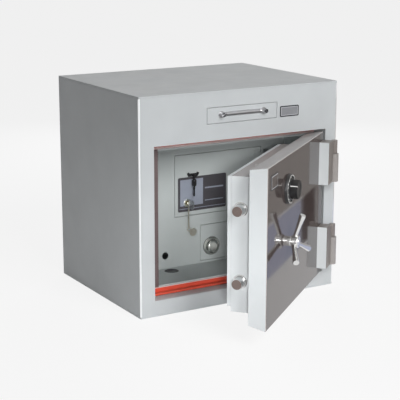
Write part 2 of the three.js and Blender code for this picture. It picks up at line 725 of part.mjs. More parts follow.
function rackOutline(start) {
  const shape = new THREE.Shape();
  const [tip, root] = [-TOOTH_TIP, TOOTH_ROOT];
  const half = (pitchStep / 2 - BACKLASH) / 2;
  const lean = (z) => Math.tan(PRESSURE) * z;
  shape.moveTo(start, RACK_HEIGHT + root);
  shape.lineTo(start, root);
  for (let tooth = 0; tooth < RACK_TEETH; tooth += 1) {
    const middle = start + (tooth + 0.5) * pitchStep;
    shape.lineTo(middle - half - lean(root), root);
    shape.lineTo(middle - half - lean(tip), tip);
    shape.lineTo(middle + half + lean(tip), tip);
    shape.lineTo(middle + half + lean(root), root);
  }
  const end = start + RACK_TEETH * pitchStep;
  shape.lineTo(end, root);
  shape.lineTo(end + RACK_TAIL, root);
  shape.lineTo(end + RACK_TAIL, RACK_HEIGHT + root);
  return shape;
}

const rackStart = handleX - RACK_LEAD * pitchStep;
const teethEnd = rackStart + RACK_TEETH * pitchStep;
const boltTravel = Math.PI / 2 * pitchRadius;
const rackTop = rackZ + RACK_HEIGHT + TOOTH_ROOT;
const lockLow = DIAL_Z - LOCK_HEIGHT / 2;
const lockBoltY = boltCase.front + LOCK_WALL + LOCK_BOLT_BACK;
const camY = lockBoltY + LOCK_BOLT_DEPTH + CAM_GAP;

// Upright carrier, rack and the stop that the lock's bolt drops beside.
function boltCarrier() {
  const half = CARRIER_WIDTH / 2;
  const rack = slab(rackOutline(0), rackStart, boltY - GEAR_WIDTH / 2, rackZ, GEAR_WIDTH);
  const stopRight = handleX - LOCK_BOLT_WIDTH / 2 - STOP_GAP;
  const stopTop = lockLow - STOP_BELOW;
  const [front, back] = [boltY - GEAR_WIDTH / 2, boltY + GEAR_WIDTH / 2];
  const spigotBore = (z) => bar(
    'x', SPIGOT_RADIUS + RUN, carrierX - PAST, carrierX + CARRIER_THICK + PAST, boltY, z,
  );
  return cut(
    join(
      block(
        carrierX, carrierX + CARRIER_THICK, boltY - half, boltY + half,
        LOWER_BOLT_Z - CARRIER_PAST, UPPER_BOLT_Z + CARRIER_PAST,
      ),
      rack,
      block(carrierX, rackStart + FUSE, front, back, rackTop - RACK_HEIGHT, rackTop),
      block(stopRight - STOP_WIDTH, stopRight, front, back, rackTop - FUSE, stopTop),
      block(stopRight - STOP_WIDTH, stopRight, lockBoltY, boltY, stopTop - STOP_HEAD, stopTop),
    ),
    spigotBore(UPPER_BOLT_Z),
    spigotBore(LOWER_BOLT_Z),
  );
}

// Involute pinion that turns with the handle and drives the rack.
function drivePinion() {
  const base = pitchRadius * Math.cos(PRESSURE);
  const outer = pitchRadius + TOOTH_TIP;
  const root = pitchRadius - TOOTH_ROOT;
  const roll = (radius) => Math.sqrt(Math.max(0, (radius / base) ** 2 - 1));
  const involute = (radius) => roll(radius) - Math.atan(roll(radius));
  const halfTooth = Math.PI / (2 * GEAR_TEETH) - BACKLASH / (2 * pitchRadius) + involute(pitchRadius);
  const steps = 4;
  const shape = new THREE.Shape();
  const at = (radius, angle) => [radius * Math.sin(angle), radius * Math.cos(angle)];
  for (let tooth = 0; tooth < GEAR_TEETH; tooth += 1) {
    const middle = (tooth + 0.5) * 2 * Math.PI / GEAR_TEETH;
    const flank = Array.from({ length: steps + 1 }, (_, i) => {
      const radius = Math.max(base, root) + (outer - Math.max(base, root)) * i / steps;
      return [radius, halfTooth - involute(radius)];
    });
    const left = [[root, flank[0][1]], ...flank].map(([radius, off]) => at(radius, middle - off));
    const right = [...flank.toReversed(), [root, flank[0][1]]].map(
      ([radius, off]) => at(radius, middle + off),
    );
    for (const [x, z] of [...left, ...right]) {
      if (shape.curves.length || shape.currentPoint.length()) shape.lineTo(x, z);
      else shape.moveTo(x, z);
    }
  }
  return cut(
    slab(shape, handleX, boltY - GEAR_WIDTH / 2, HANDLE_Z, GEAR_WIDTH),
    bar('y', SPINDLE_RADIUS + SEAT, boltY - GEAR_WIDTH, boltY + GEAR_WIDTH, handleX, HANDLE_Z),
  );
}

function rackGuide() {
  const x0 = teethEnd + boltTravel + GUIDE_GAP;
  const low = rackTop - RACK_HEIGHT;
  const [front, back] = [boltCase.front, boltY + GEAR_WIDTH / 2 + RUN];
  return cut(
    block(x0, x0 + GUIDE_LENGTH, front, back + GUIDE_WALL, low - GUIDE_WALL, rackTop + GUIDE_WALL),
    block(
      x0 - PAST, x0 + GUIDE_LENGTH + PAST, boltY - GEAR_WIDTH / 2 - RUN, back,
      low - RUN, rackTop + RUN,
    ),
  );
}

// Door furniture

const handleEscutcheon = () => cut(
  turned([
    [0, SEAT], [ESCUTCHEON_RADIUS, SEAT], [ESCUTCHEON_RADIUS, ESCUTCHEON_THICK - ESCUTCHEON_EDGE],
    [ESCUTCHEON_RADIUS - ESCUTCHEON_EDGE, ESCUTCHEON_THICK], [0, ESCUTCHEON_THICK],
  ], handleX, FRONT, HANDLE_Z),
  bar('y', SPINDLE_RADIUS + RUN, FRONT - 2 * ESCUTCHEON_THICK, FRONT + PAST, handleX, HANDLE_Z),
);

const hubBack = ESCUTCHEON_THICK + RUN;
const hubFront = hubBack + HUB_THICK;
const spindleNose = FRONT - ESCUTCHEON_THICK - SPINDLE_IN_HUB;

const handleSpindle = () => bar(
  'y', SPINDLE_RADIUS, spindleNose, boltY + GEAR_WIDTH / 2 + SPINDLE_TAIL, handleX, HANDLE_Z,
);

const handleHub = () => cut(
  turned([
    [0, hubBack], [HUB_RADIUS - HUB_EDGE / 2, hubBack], [HUB_RADIUS, hubBack + HUB_EDGE / 2],
    [HUB_RADIUS, hubFront - HUB_EDGE], [HUB_RADIUS - HUB_EDGE, hubFront],
    [HUB_FACE_RADIUS, hubFront + 0.75 * HUB_DOME], [0, hubFront + HUB_DOME],
  ], handleX, FRONT, HANDLE_Z),
  bar('y', SPINDLE_RADIUS + SEAT, spindleNose - SEAT, FRONT, handleX, HANDLE_Z),
);

// An arm leaves the hub's rim, swells towards its end and has a flat face there.
function handleArm(number) {
  const rootOut = (hubBack + hubFront) / 2;
  const along = new THREE.Vector3(0, -ARM_DISH, ARM_REACH - HUB_RADIUS);
  const length = along.length();
  const arm = new THREE.LatheGeometry([
    [0, -ARM_ROOT_RADIUS], [ARM_ROOT_RADIUS, -ARM_ROOT_RADIUS], [ARM_ROOT_RADIUS, length * ARM_STRAIGHT],
    [ARM_END_RADIUS, length - ARM_EDGE], [ARM_END_RADIUS - ARM_EDGE, length], [0, length],
  ].map(([radius, up]) => new THREE.Vector2(radius, up)), 24);
  arm.applyQuaternion(new THREE.Quaternion().setFromUnitVectors(
    new THREE.Vector3(0, 1, 0), along.clone().normalize(),
  ));
  place(arm, 0, -rootOut, HUB_RADIUS);
  const clear = new THREE.CylinderGeometry(HUB_RADIUS + SEAT, HUB_RADIUS + SEAT, 4 * HUB_THICK, ARC);
  const trimmed = cut(arm, place(clear, 0, -rootOut, 0));
  trimmed.rotateY(-THREE.MathUtils.degToRad(ARM_LEAN + number * 360 / ARM_COUNT));
  return place(trimmed, handleX, FRONT, HANDLE_Z);
}

// Fixed ring with a floor, in which the dial turns.
function dialRing() {
  const inner = DIAL_SKIRT_RADIUS + DIAL_RING_GAP;
  return cut(
    turned([
      [0, SEAT], [DIAL_RING_RADIUS, SEAT], [DIAL_RING_RADIUS, DIAL_RING_FLOOR],
      [DIAL_RING_RADIUS - DIAL_RING_EDGE, DIAL_RING_DEPTH], [0, DIAL_RING_DEPTH],
    ], handleX, FRONT, DIAL_Z, 36),
    bar('y', inner, FRONT - 2 * DIAL_RING_DEPTH, FRONT - DIAL_RING_FLOOR, handleX, DIAL_Z, inner, 36),
    bar('y', DIAL_SPINDLE_RADIUS + RUN, FRONT - DIAL_RING_FLOOR - PAST, FRONT + PAST, handleX, DIAL_Z),
  );
}

// Dial with a sloping graduated skirt, a fluted knob and the spindle that enters the lock.
function combinationDial() {
  const back = DIAL_RING_FLOOR + DIAL_GAP;
  const skirt = back + DIAL_SKIRT_DEPTH;
  const front = FRONT - skirt - KNOB_DEPTH;
  const body = turned([
    [0, back], [DIAL_SKIRT_RADIUS, back], [DIAL_SKIRT_RADIUS, back + SKIRT_EDGE],
    [KNOB_RADIUS + SKIRT_EDGE, skirt], [0, skirt],
  ], handleX, FRONT, DIAL_Z, 36);
  const rim = new THREE.Shape();
  for (let i = 0; i < 2 * KNOB_FLUTES; i += 1) {
    const angle = i * Math.PI / KNOB_FLUTES;
    const radius = i % 2 ? KNOB_RADIUS - FLUTE_DEPTH : KNOB_RADIUS;
    if (i === 0) rim.moveTo(radius, 0);
    else rim.lineTo(radius * Math.cos(angle), radius * Math.sin(angle));
  }
  const knob = slab(rim, handleX, front, DIAL_Z, KNOB_DEPTH + FUSE);
  const recess = bar('y', KNOB_RADIUS - KNOB_RIM, front - PAST, front + KNOB_RECESS, handleX, DIAL_Z);
  const spindle = bar(
    'y', DIAL_SPINDLE_RADIUS, FRONT - skirt, camY + CAM_DISC_THICK + CAM_GAP,
    handleX, DIAL_Z, DIAL_SPINDLE_RADIUS, 20,
  );
  return join(body, cut(knob, recess), spindle);
}

const lockBox = (by) => ({
  x0: handleX - LOCK_WIDTH / 2 + by,
  x1: handleX + LOCK_WIDTH / 2 - by,
  z0: lockLow + by,
  z1: lockLow + LOCK_HEIGHT - by,
});

// Lock case on the slab's back, open behind, and at its foot where its bolt slides.
function lockCase() {
  const outer = lockBox(0);
  const inner = lockBox(LOCK_WALL);
  const front = boltCase.front;
  return cut(
    block(outer.x0, outer.x1, front, front + LOCK_DEPTH, outer.z0, outer.z1),
    block(inner.x0, inner.x1, front + LOCK_WALL, front + LOCK_DEPTH + PAST, inner.z0, inner.z1),
    block(
      handleX - LOCK_BOLT_WIDTH / 2 - RUN, handleX + LOCK_BOLT_WIDTH / 2 + RUN,
      lockBoltY - RUN, lockBoltY + LOCK_BOLT_DEPTH + RUN, lockLow - PAST, lockLow + LOCK_WALL + PAST,
    ),
    bar('y', DIAL_SPINDLE_RADIUS + RUN, front - PAST, front + LOCK_WALL + PAST, handleX, DIAL_Z),
  );
}

function lockBolt() {
  const low = lockLow + LOCK_BOLT_LOW;
  return block(
    handleX - LOCK_BOLT_WIDTH / 2, handleX + LOCK_BOLT_WIDTH / 2,
    lockBoltY, lockBoltY + LOCK_BOLT_DEPTH, low, low + LOCK_BOLT_HEIGHT - LOCK_THROW,
  );
}

// Notched cam on the end of the dial's spindle.
function driveCam() {
  const rim = new THREE.Shape();
  const notch = CAM_NOTCH / CAM_DISC;
  rim.absarc(0, 0, CAM_DISC, notch, 2 * Math.PI - notch, false);
  rim.lineTo(CAM_DISC - CAM_NOTCH, -CAM_NOTCH / 2);
  rim.lineTo(CAM_DISC - CAM_NOTCH, CAM_NOTCH / 2);
  return cut(
    slab(rim, handleX, camY, DIAL_Z, CAM_DISC_THICK, 16),
    bar('y', DIAL_SPINDLE_RADIUS + SEAT, camY - PAST, camY + CAM_DISC_THICK + PAST, handleX, DIAL_Z),
  );
}

// Hinges: the door's block carries the upper knuckle, the cabinet's barrel holds the pin.

function hingeBlock(low) {
  const front = FRONT - HINGE_OUT;
  const top = low + HINGE_HEIGHT;
  const [left, right] = [door.right - BLOCK_REACH, hinge.x - BARREL_RADIUS - HINGE_SLIT];
  const [knuckleLow, knuckleTop] = [top - KNUCKLE_HEIGHT, top - HINGE_SLIT];
  return cut(
    join(
      throughFrames([
        { x0: left + HINGE_CHAMFER, x1: right, z0: low + HINGE_CHAMFER, z1: top - HINGE_CHAMFER, y: front },
        { x0: left, x1: right, z0: low, z1: top, y: front + HINGE_CHAMFER },
        { x0: left, x1: right, z0: low, z1: top, y: FRONT - SEAT },
      ]),
      block(right - FUSE, hinge.x, front + FUSE / 2, front + KNUCKLE_RADIUS, knuckleLow, knuckleTop),
      bar('z', KNUCKLE_RADIUS, knuckleLow, knuckleTop, hinge.x, hinge.y, KNUCKLE_RADIUS, 32),
    ),
    bar('z', HINGE_PIN_RADIUS + RUN, low - PAST, top + PAST, hinge.x, hinge.y, HINGE_PIN_RADIUS + RUN, 24),
  );
}

function hingeBarrel(low) {
  const [foot, top] = [low + HINGE_SLIT, low + HINGE_HEIGHT - KNUCKLE_HEIGHT - HINGE_SLIT];
  const webRight = hinge.x + LEAF_PAST;
  return join(
    bar('z', BARREL_RADIUS, foot, top, hinge.x, hinge.y, BARREL_RADIUS, 32),
    block(webRight - BARREL_WEB, webRight, hinge.y, FRONT, foot, top),
    block(hinge.x - LEAF_PAST, -LEFT - HINGE_SLIT, FRONT - LEAF_SHEET, FRONT, foot, top),
    bar(
      'z', HINGE_PIN_RADIUS, top - FUSE, low + HINGE_HEIGHT - HINGE_SLIT,
      hinge.x, hinge.y, HINGE_PIN_RADIUS, 24,
    ),
  );
}

// Inner panel and lockers

const lockerPivot = (locker) => ({ x: locker.right + LOCKER_PIVOT_BESIDE, y: panelY - LOCKER_PIVOT_OUT });

const lockerBody = ({ left, right, low, high }, by, y0, y1) => block(
  left + by, right - by, y0, y1, low + by, high - by,
);

const innerPanel = () => cut(
  block(room.left + SEAT, room.right - SEAT, panelY, panelY + PANEL_SHEET, room.low + SEAT, room.high - SEAT),
  lockerBody(upperLocker, -LOCKER_GAP, panelY - PAST, panelY + PANEL_SHEET + PAST),
  lockerBody(lowerLocker, -LOCKER_GAP, panelY - PAST, panelY + PANEL_SHEET + PAST),
  sleeveBody(SLEEVE_SHEET + SEAT, panelY - PAST, panelY + PANEL_SHEET + PAST),
  bar(
    'y', PANEL_HOLE.radius, panelY - PAST, panelY + PANEL_SHEET + PAST,
    LEFT + PANEL_HOLE.left, room.low + PANEL_HOLE.rise,
  ),
);

// One knuckle of a locker hinge, a third of the locker's height long.
function lockerKnuckles(locker, thirds) {
  const { x, y } = lockerPivot(locker);
  const length = (locker.high - locker.low - 2 * LEAF_INSET) / 3;
  return thirds.map((third) => {
    const from = locker.low + LEAF_INSET + third * length + RUN;
    return bar('z', LOCKER_BARREL_RADIUS, from, from + length - 2 * RUN, x, y, LOCKER_BARREL_RADIUS, 20);
  });
}

function lockerLeaf(locker, side, thirds) {
  const { x, y } = lockerPivot(locker);
  const near = x + side * (LOCKER_BARREL_RADIUS + RUN);
  const far = near + side * LOCKER_LEAF;
  const webs = lockerKnuckles(locker, thirds).map((knuckle) => {
    knuckle.computeBoundingBox();
    const { min, max } = knuckle.boundingBox;
    const [a, b] = [x, near + side * FUSE];
    const back = y + LOCKER_BARREL_RADIUS - RUN;
    return block(Math.min(a, b), Math.max(a, b), back - LEAF_WEB, back, min.z, max.z);
  });
  const back = panelY - (side > 0 ? SEAT : 0);
  const plate = block(
    Math.min(near, far), Math.max(near, far), back - LOCKER_LEAF_SHEET, back,
    locker.low + LEAF_INSET, locker.high - LEAF_INSET,
  );
  return [plate, ...webs, ...lockerKnuckles(locker, thirds)];
}

function lockerHinge(locker) {
  const { x, y } = lockerPivot(locker);
  const [plate, ...rest] = lockerLeaf(locker, 1, [0, 2]);
  const [low, high] = [locker.low + LEAF_INSET + FUSE, locker.high - LEAF_INSET - FUSE];
  return join(plate, ...rest, bar('z', LOCKER_PIN_RADIUS, low, high, x, y, LOCKER_PIN_RADIUS, 16));
}

// A folded door with returned edges; the lock's hole is cut through its face.
function lockerDoor(locker, lock, radius) {
  const { x, y } = lockerPivot(locker);
  const tray = cut(
    lockerBody(locker, 0, panelY, panelY + LOCKER_RETURN),
    lockerBody(locker, LOCKER_SHEET, panelY + LOCKER_SHEET, panelY + LOCKER_RETURN + PAST),
  );
  return cut(
    join(tray, ...lockerLeaf(locker, -1, [1])),
    bar('y', radius, panelY - PAST, panelY + LOCKER_SHEET + PAST, lock.x, lock.z),
    bar('z', LOCKER_PIN_RADIUS + RUN, locker.low, locker.high, x, y, LOCKER_PIN_RADIUS + RUN, 16),
  );
}

// Key lock: a flanged barrel in the door, and a plug with a cam behind it.
const onKeyLock = (radius, from, to) => bar('y', radius, from, to, keyLock.x, keyLock.z);

const keyLockBody = () => cut(
  join(
    onKeyLock(LOCK_COLLAR_RADIUS, panelY - LOCK_COLLAR, panelY - SEAT),
    onKeyLock(LOCK_BARREL_RADIUS, panelY - LOCK_COLLAR, panelY + PLUG_BACK - CAM_THICK - RUN),
  ),
  onKeyLock(PLUG_RADIUS + RUN, panelY - LOCK_COLLAR - PAST, panelY + PLUG_BACK),
);

const labelPlate = () => cut(
  namePlate(LABEL, label.x, panelY - LABEL.sheet - SEAT, label.z),
  onKeyLock(LOCK_COLLAR_RADIUS + SEAT, panelY - LOCK_COLLAR, panelY + PAST),
);

const cam = (x, z, y1) => block(
  x - CAM_WIDTH / 2, x + CAM_WIDTH / 2, y1 - CAM_THICK, y1, z - CAM_WIDTH / 2, z + CAM_LENGTH,
);

const plugFace = panelY - LOCK_COLLAR - PLUG_OUT;

const keyPlug = () => join(
  onKeyLock(PLUG_RADIUS, plugFace, panelY + PLUG_BACK - FUSE),
  cam(keyLock.x, keyLock.z, panelY + PLUG_BACK),
);

// The key in the plug: a round neck, and a flat bow with a hole.
function lockerKey() {
  const { x, z } = keyLock;
  const face = plugFace - SEAT;
  const bowBack = face - KEY_NECK_LENGTH;
  const bow = roundedOutline(KEY_BOW, KEY_BOW, KEY_BOW_RADIUS);
  bow.holes.push(new THREE.Path().absarc(-KEY_BOW_HOLE.out, 0, KEY_BOW_HOLE.radius, 0, 2 * Math.PI, true));
  const flat = place(alongX(bow, KEY_THICK), x - KEY_THICK / 2, bowBack - KEY_BOW / 2 + FUSE, z);
  return join(flat, bar('y', KEY_NECK, bowBack - FUSE, face, x, z, KEY_NECK, 16));
}

// A tag that hangs from the key's neck: an eye, a strap, a link and a disc.
function keyTag() {
  const { x, z } = keyLock;
  const y = plugFace - SEAT - KEY_NECK_LENGTH / 2 - TAG_SHEET / 2;
  const eye = KEY_NECK + RUN;
  const outline = roundedOutline(TAG_STRAP_WIDTH, TAG_STRAP, TAG_STRAP_EDGE);
  const strapTop = z - eye - FUSE;
  const linkZ = strapTop - TAG_STRAP + FUSE - TAG_LINK.drop;
  const ring = (radius, hole) => {
    const shape = new THREE.Shape().absarc(0, 0, radius, 0, 2 * Math.PI, false);
    if (hole) shape.holes.push(new THREE.Path().absarc(0, 0, hole, 0, 2 * Math.PI, true));
    return shape;
  };
  return join(
    slab(ring(eye + TAG_EYE_WALL, eye), x, y, z, TAG_SHEET, 8),
    slab(outline, x, y, strapTop - TAG_STRAP / 2, TAG_SHEET, 2),
    slab(ring(TAG_LINK.radius, TAG_LINK.hole), x + TAG_LINK.right, y, linkZ, TAG_SHEET, 6),
    slab(ring(TAG_RADIUS, 0), x + TAG_DISC.right, y, linkZ - TAG_DISC.drop, TAG_SHEET, 9),
  );
}

// A small hook with upturned ends and one pin that stands out to hold the spare key.
function keyHook() {
  const { x, z } = hook;
  const [front, back] = [panelY - SEAT - HOOK_BAR.thick, panelY - SEAT];
  const [half, pinZ, end] = [HOOK_WING.width / 2, z - HOOK_PIN_DROP, back - HOOK_OUT];
  const [wide, high] = [HOOK_WIDTH / 2, HOOK_BAR.height / 2];
  const wing = (side) => {
    const tip = block(-half, half, front, back, 0, HOOK_WING.height);
    tip.rotateY(side * HOOK_WING.lean);
    return place(tip, x + side * (wide - half), 0, z - half);
  };
  const bead = HOOK_PIN + HOOK_BEAD.wider;
  return join(
    block(x - wide, x + wide, front, back, z - high, z + high),
    wing(-1),
    wing(1),
    bar('y', HOOK_PIN, end, front + FUSE, x, pinZ, HOOK_PIN, 16),
    bar('y', bead, end - HOOK_BEAD.long, end, x, pinZ, bead, 16),
  );
}

// The spare key hangs by a wire eye from the hook's pin: a black head over a plain blade.
function spareKey() {
  const { x } = hook;
  const y = panelY - SEAT - HOOK_OUT / 2 - SPARE_THICK / 2 - SPARE_CLEAR;
  const eyeZ = hook.z - HOOK_PIN_DROP - RUN;
  const eye = HOOK_PIN + 2 * RUN;
  const { wall, neck, drop } = SPARE_EYE;
  const eyeRing = new THREE.Shape().absarc(0, 0, eye + wall, 0, 2 * Math.PI, false);
  eyeRing.holes.push(new THREE.Path().absarc(0, 0, eye, 0, 2 * Math.PI, true));
  const headTop = eyeZ - eye - drop;
  const headZ = headTop - SPARE_HEAD.height / 2;
  const head = roundedOutline(SPARE_HEAD.width, SPARE_HEAD.height, SPARE_HEAD.radius);
  head.holes.push(new THREE.Path().absarc(0, SPARE_HEAD.holeUp, SPARE_HEAD.hole, 0, 2 * Math.PI, true));
  const { width, length, thick, inHead } = SPARE_BLADE;
  const { count, pitch, depth, first } = SPARE_BITS;
  const blade = new THREE.Shape();
  blade.moveTo(-width / 2, 0);
  blade.lineTo(-width / 2, -length + width / 2);
  blade.lineTo(0, -length);
  for (let bit = 0; bit <= count; bit += 1) {
    const z = -length + first + bit * pitch;
    blade.lineTo(width / 2, z);
    if (bit < count) blade.lineTo(width / 2 - depth, z + pitch / 2);
  }
  blade.lineTo(width / 2, 0);
  const middle = y + SPARE_THICK / 2;
  return join(
    slab(eyeRing, x, middle - wall / 2, eyeZ, wall, 6),
    block(x - neck / 2, x + neck / 2, middle - wall / 2, middle + wall / 2, headTop - FUSE, eyeZ - eye),
    slab(head, x, y, headZ, SPARE_THICK, 6),
    slab(blade, x, middle - thick / 2, headTop - SPARE_HEAD.height + inHead, thick),
  );
}

// Round lock of the lower locker: a fixed rose and a turning knob with a cam.
const roundLockRose = () => cut(
  turned([
    [0, SEAT], [ROSE_RADIUS, SEAT], [ROSE_RADIUS, ROSE_THICK - ROSE_EDGE],
    [ROSE_RADIUS - ROSE_EDGE, ROSE_THICK], [0, ROSE_THICK],
  ], roundLock.x, panelY, roundLock.z, 32),
  bar('y', TURN_RADIUS + TURN_GAP, panelY - 2 * ROSE_THICK, panelY - ROSE_EDGE, roundLock.x, roundLock.z),
  bar('y', TURN_SHAFT + RUN, panelY - ROSE_THICK, panelY + PAST, roundLock.x, roundLock.z),
);

function roundLockKnob() {
  const { x, z } = roundLock;
  const { edge, rim, bevel, side } = TURN_FACE;
  const { width, length, depth } = TURN_SLOT;
  const [face, tail] = [panelY - TURN_OUT, panelY + LOCKER_RETURN + TURN_TAIL];
  const head = turned([
    [0, TURN_BACK], [TURN_RADIUS, TURN_BACK], [TURN_RADIUS, TURN_OUT - side],
    [TURN_RADIUS - edge, TURN_OUT - bevel], [TURN_RADIUS - rim, TURN_OUT], [0, TURN_OUT],
  ], x, panelY, z);
  const slot = block(x - width / 2, x + width / 2, face - PAST, face + depth, z - length / 2, z + length / 2);
  return join(
    cut(head, slot),
    bar('y', TURN_SHAFT, panelY - TURN_BACK - FUSE, tail, x, z, TURN_SHAFT, 24),
    cam(x, z, tail),
  );
}

// Materials

const paint = new THREE.MeshStandardMaterial({ color: 0xb9bfc2, roughness: 0.5, metalness: 0.1 });
const innerPaint = new THREE.MeshStandardMaterial({ color: 0xa4acac, roughness: 0.6, metalness: 0.05 });
const doorPaint = new THREE.MeshStandardMaterial({ color: 0x8c8986, roughness: 0.25, metalness: 0.4 });
const edgePaint = new THREE.MeshStandardMaterial({ color: 0xd5dadc, roughness: 0.5, metalness: 0.1 });
const sealRubber = new THREE.MeshStandardMaterial({ color: 0xd6583f, roughness: 0.7, metalness: 0 });
const chrome = new THREE.MeshStandardMaterial({ color: 0xe0e2e4, roughness: 0.15, metalness: 1 });
const steel = new THREE.MeshStandardMaterial({ color: 0x9b9a98, roughness: 0.4, metalness: 0.9 });
const darkSteel = new THREE.MeshStandardMaterial({ color: 0x6c635e, roughness: 0.5, metalness: 0.8 });
const black = new THREE.MeshStandardMaterial({ color: 0x1c1c1e, roughness: 0.45, metalness: 0 });
const brass = new THREE.MeshStandardMaterial({ color: 0xc9c2a4, roughness: 0.35, metalness: 0.9 });
const concrete = new THREE.MeshStandardMaterial({ color: 0x8f8d88, roughness: 0.9, metalness: 0 });
const silverPlate = new THREE.MeshStandardMaterial({ color: 0x9aa0ab, roughness: 0.4, metalness: 0.4 });

const safe = new THREE.Group();

function add(parent, name, geometry, material) {
  const mesh = new THREE.Mesh(geometry, material);
  mesh.name = name;
  parent.add(mesh);
  return mesh;
}

const sealHeight = STOP_RAIL - SEAL_LIP - SEAL_MARGIN;

add(safe, 'base_plate', basePlate(), paint);
add(safe, 'top_plate', topPlate(), paint);
add(safe, 'back_plate', backPlate(), paint);
add(safe, 'side_left', sidePlate(LEFT), paint);
add(safe, 'side_right', sidePlate(-LEFT - SKIN), paint);
add(safe, 'front_plate', frontPlate(), paint);
add(safe, 'barrier_fill', barrierFill(), concrete);
add(safe, 'inner_liner', innerLiner(), innerPaint);
add(safe, 'front_bulkhead', frontBulkhead(), innerPaint);
add(safe, 'opening_lining', openingLining(), paint);
add(safe, 'seal_bottom', sillSeal(), sealRubber);
add(safe, 'seal_top', seal(doorway.high - SEAL_MARGIN - sealHeight), sealRubber);
add(safe, 'drawer_sleeve', drawerSleeve(), innerPaint);
add(safe, 'drawer_front', drawerFront(), paint);
add(safe, 'drawer_tray', drawerTray(), steel);
add(safe, 'drawer_pull', drawerPull(), chrome);
add(safe, 'tray_gate', trayGate(), steel);
add(safe, 'front_nameplate', namePlate(
  FRONT_PLATE, DRAWER_WIDTH / 2 + FRONT_PLATE.beside, FRONT - FRONT_PLATE.sheet - SEAT, DRAWER_Z,
), silverPlate);
add(safe, 'inner_panel', innerPanel(), innerPaint);

for (const [name, locker, lock, radius] of [
  ['upper', upperLocker, keyLock, LOCK_BARREL_RADIUS + RUN],
  ['lower', lowerLocker, roundLock, TURN_SHAFT + RUN],
]) {
  add(safe, `${name}_locker_hinge`, lockerHinge(locker), steel);
  add(safe, `${name}_locker_door`, lockerDoor(locker, lock, radius), innerPaint);
}
add(safe, 'label_plate', labelPlate(), silverPlate);
add(safe, 'key_lock_body', keyLockBody(), brass);
add(safe, 'key_plug', keyPlug(), brass);
add(safe, 'locker_key', lockerKey(), steel);
add(safe, 'key_tag', keyTag(), brass);
add(safe, 'key_hook', keyHook(), black);
add(safe, 'spare_key', spareKey(), black);
add(safe, 'round_lock_rose', roundLockRose(), chrome);
add(safe, 'round_lock_knob', roundLockKnob(), chrome);

// The door's pieces are drawn shut and turn together about the hinge pins.
const swing = new THREE.Group();
swing.position.set(hinge.x, hinge.y, 0);
swing.rotation.z = THREE.MathUtils.degToRad(OPEN_ANGLE);
const shut = new THREE.Group();
shut.position.set(-hinge.x, -hinge.y, 0);
swing.add(shut);
safe.add(swing);

add(shut, 'door_slab', doorSlab(), doorPaint);
add(shut, 'boltwork_case', boltworkCase(), edgePaint);
add(shut, 'door_back_cover', doorBackCover(), edgePaint);
add(shut, 'lock_case', lockCase(), steel);
add(shut, 'lock_bolt', lockBolt(), brass);
add(shut, 'drive_cam', driveCam(), brass);
add(shut, 'bolt_carrier', boltCarrier(), steel);
add(shut, 'rack_guide', rackGuide(), steel);
add(shut, 'drive_pinion', drivePinion(), steel);
add(shut, 'handle_spindle', handleSpindle(), steel);
add(shut, 'handle_escutcheon', handleEscutcheon(), chrome);
add(shut, 'handle_hub', handleHub(), chrome);
for (let number = 0; number < ARM_COUNT; number += 1) {
  add(shut, `handle_arm_${number + 1}`, handleArm(number), chrome);
}
add(shut, 'dial_ring', dialRing(), black);
add(shut, 'combination_dial', combinationDial(), black);
add(shut, 'door_nameplate', namePlate(
  DOOR_PLATE, door.left + DOOR_PLATE.left, FRONT - DOOR_PLATE.sheet - SEAT,
  door.high - DOOR_PLATE.drop - DOOR_PLATE.height,
), silverPlate);
for (const [name, boltZ, hingeLow] of [
  ['upper', UPPER_BOLT_Z, door.high - HINGE_INSET - HINGE_HEIGHT],
  ['lower', LOWER_BOLT_Z, door.low + HINGE_INSET],
]) {
  add(shut, `bolt_sleeve_${name}`, boltSleeve(boltZ), chrome);
  add(shut, `bolt_${name}`, bolt(boltZ), darkSteel);
  add(shut, `dog_bolt_${name}`, dogBolt(boltZ), steel);
  add(shut, `hinge_block_${name}`, hingeBlock(hingeLow), edgePaint);
  add(safe, `hinge_barrel_${name}`, hingeBarrel(hingeLow), paint);
}

export default safe;
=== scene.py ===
"""A drop safe with a deposit drawer, dressed round its fixed frame: fine shapes, finishes, studio and camera."""

import json
import logging
import math
from dataclasses import dataclass
from enum import Enum
from typing import Callable, Iterable, Optional, Sequence, Union

import bmesh
import bpy
from mathutils import Matrix, Vector


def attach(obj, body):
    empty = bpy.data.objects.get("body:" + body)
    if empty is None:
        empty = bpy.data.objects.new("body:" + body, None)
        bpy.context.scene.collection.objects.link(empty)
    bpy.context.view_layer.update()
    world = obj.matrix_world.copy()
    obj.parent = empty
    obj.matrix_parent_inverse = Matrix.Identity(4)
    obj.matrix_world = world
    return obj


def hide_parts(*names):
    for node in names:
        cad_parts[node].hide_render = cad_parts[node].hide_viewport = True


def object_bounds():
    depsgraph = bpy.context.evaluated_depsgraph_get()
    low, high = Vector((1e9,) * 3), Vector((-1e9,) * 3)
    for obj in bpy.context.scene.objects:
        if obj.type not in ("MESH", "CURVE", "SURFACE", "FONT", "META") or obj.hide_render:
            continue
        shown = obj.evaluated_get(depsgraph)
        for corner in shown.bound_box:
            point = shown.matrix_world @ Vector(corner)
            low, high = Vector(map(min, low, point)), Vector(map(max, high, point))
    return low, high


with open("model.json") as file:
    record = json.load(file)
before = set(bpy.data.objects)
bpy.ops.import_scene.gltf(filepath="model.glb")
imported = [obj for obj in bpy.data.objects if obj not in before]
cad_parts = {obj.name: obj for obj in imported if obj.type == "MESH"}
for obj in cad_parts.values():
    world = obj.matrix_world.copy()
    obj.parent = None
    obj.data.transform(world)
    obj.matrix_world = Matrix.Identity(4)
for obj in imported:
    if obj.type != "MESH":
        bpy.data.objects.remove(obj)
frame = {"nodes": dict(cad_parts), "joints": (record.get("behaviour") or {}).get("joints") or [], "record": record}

LOG = logging.getLogger("drop_safe")
CAD_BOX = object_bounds()
MM = 0.001
STILL = Matrix.Identity(4)
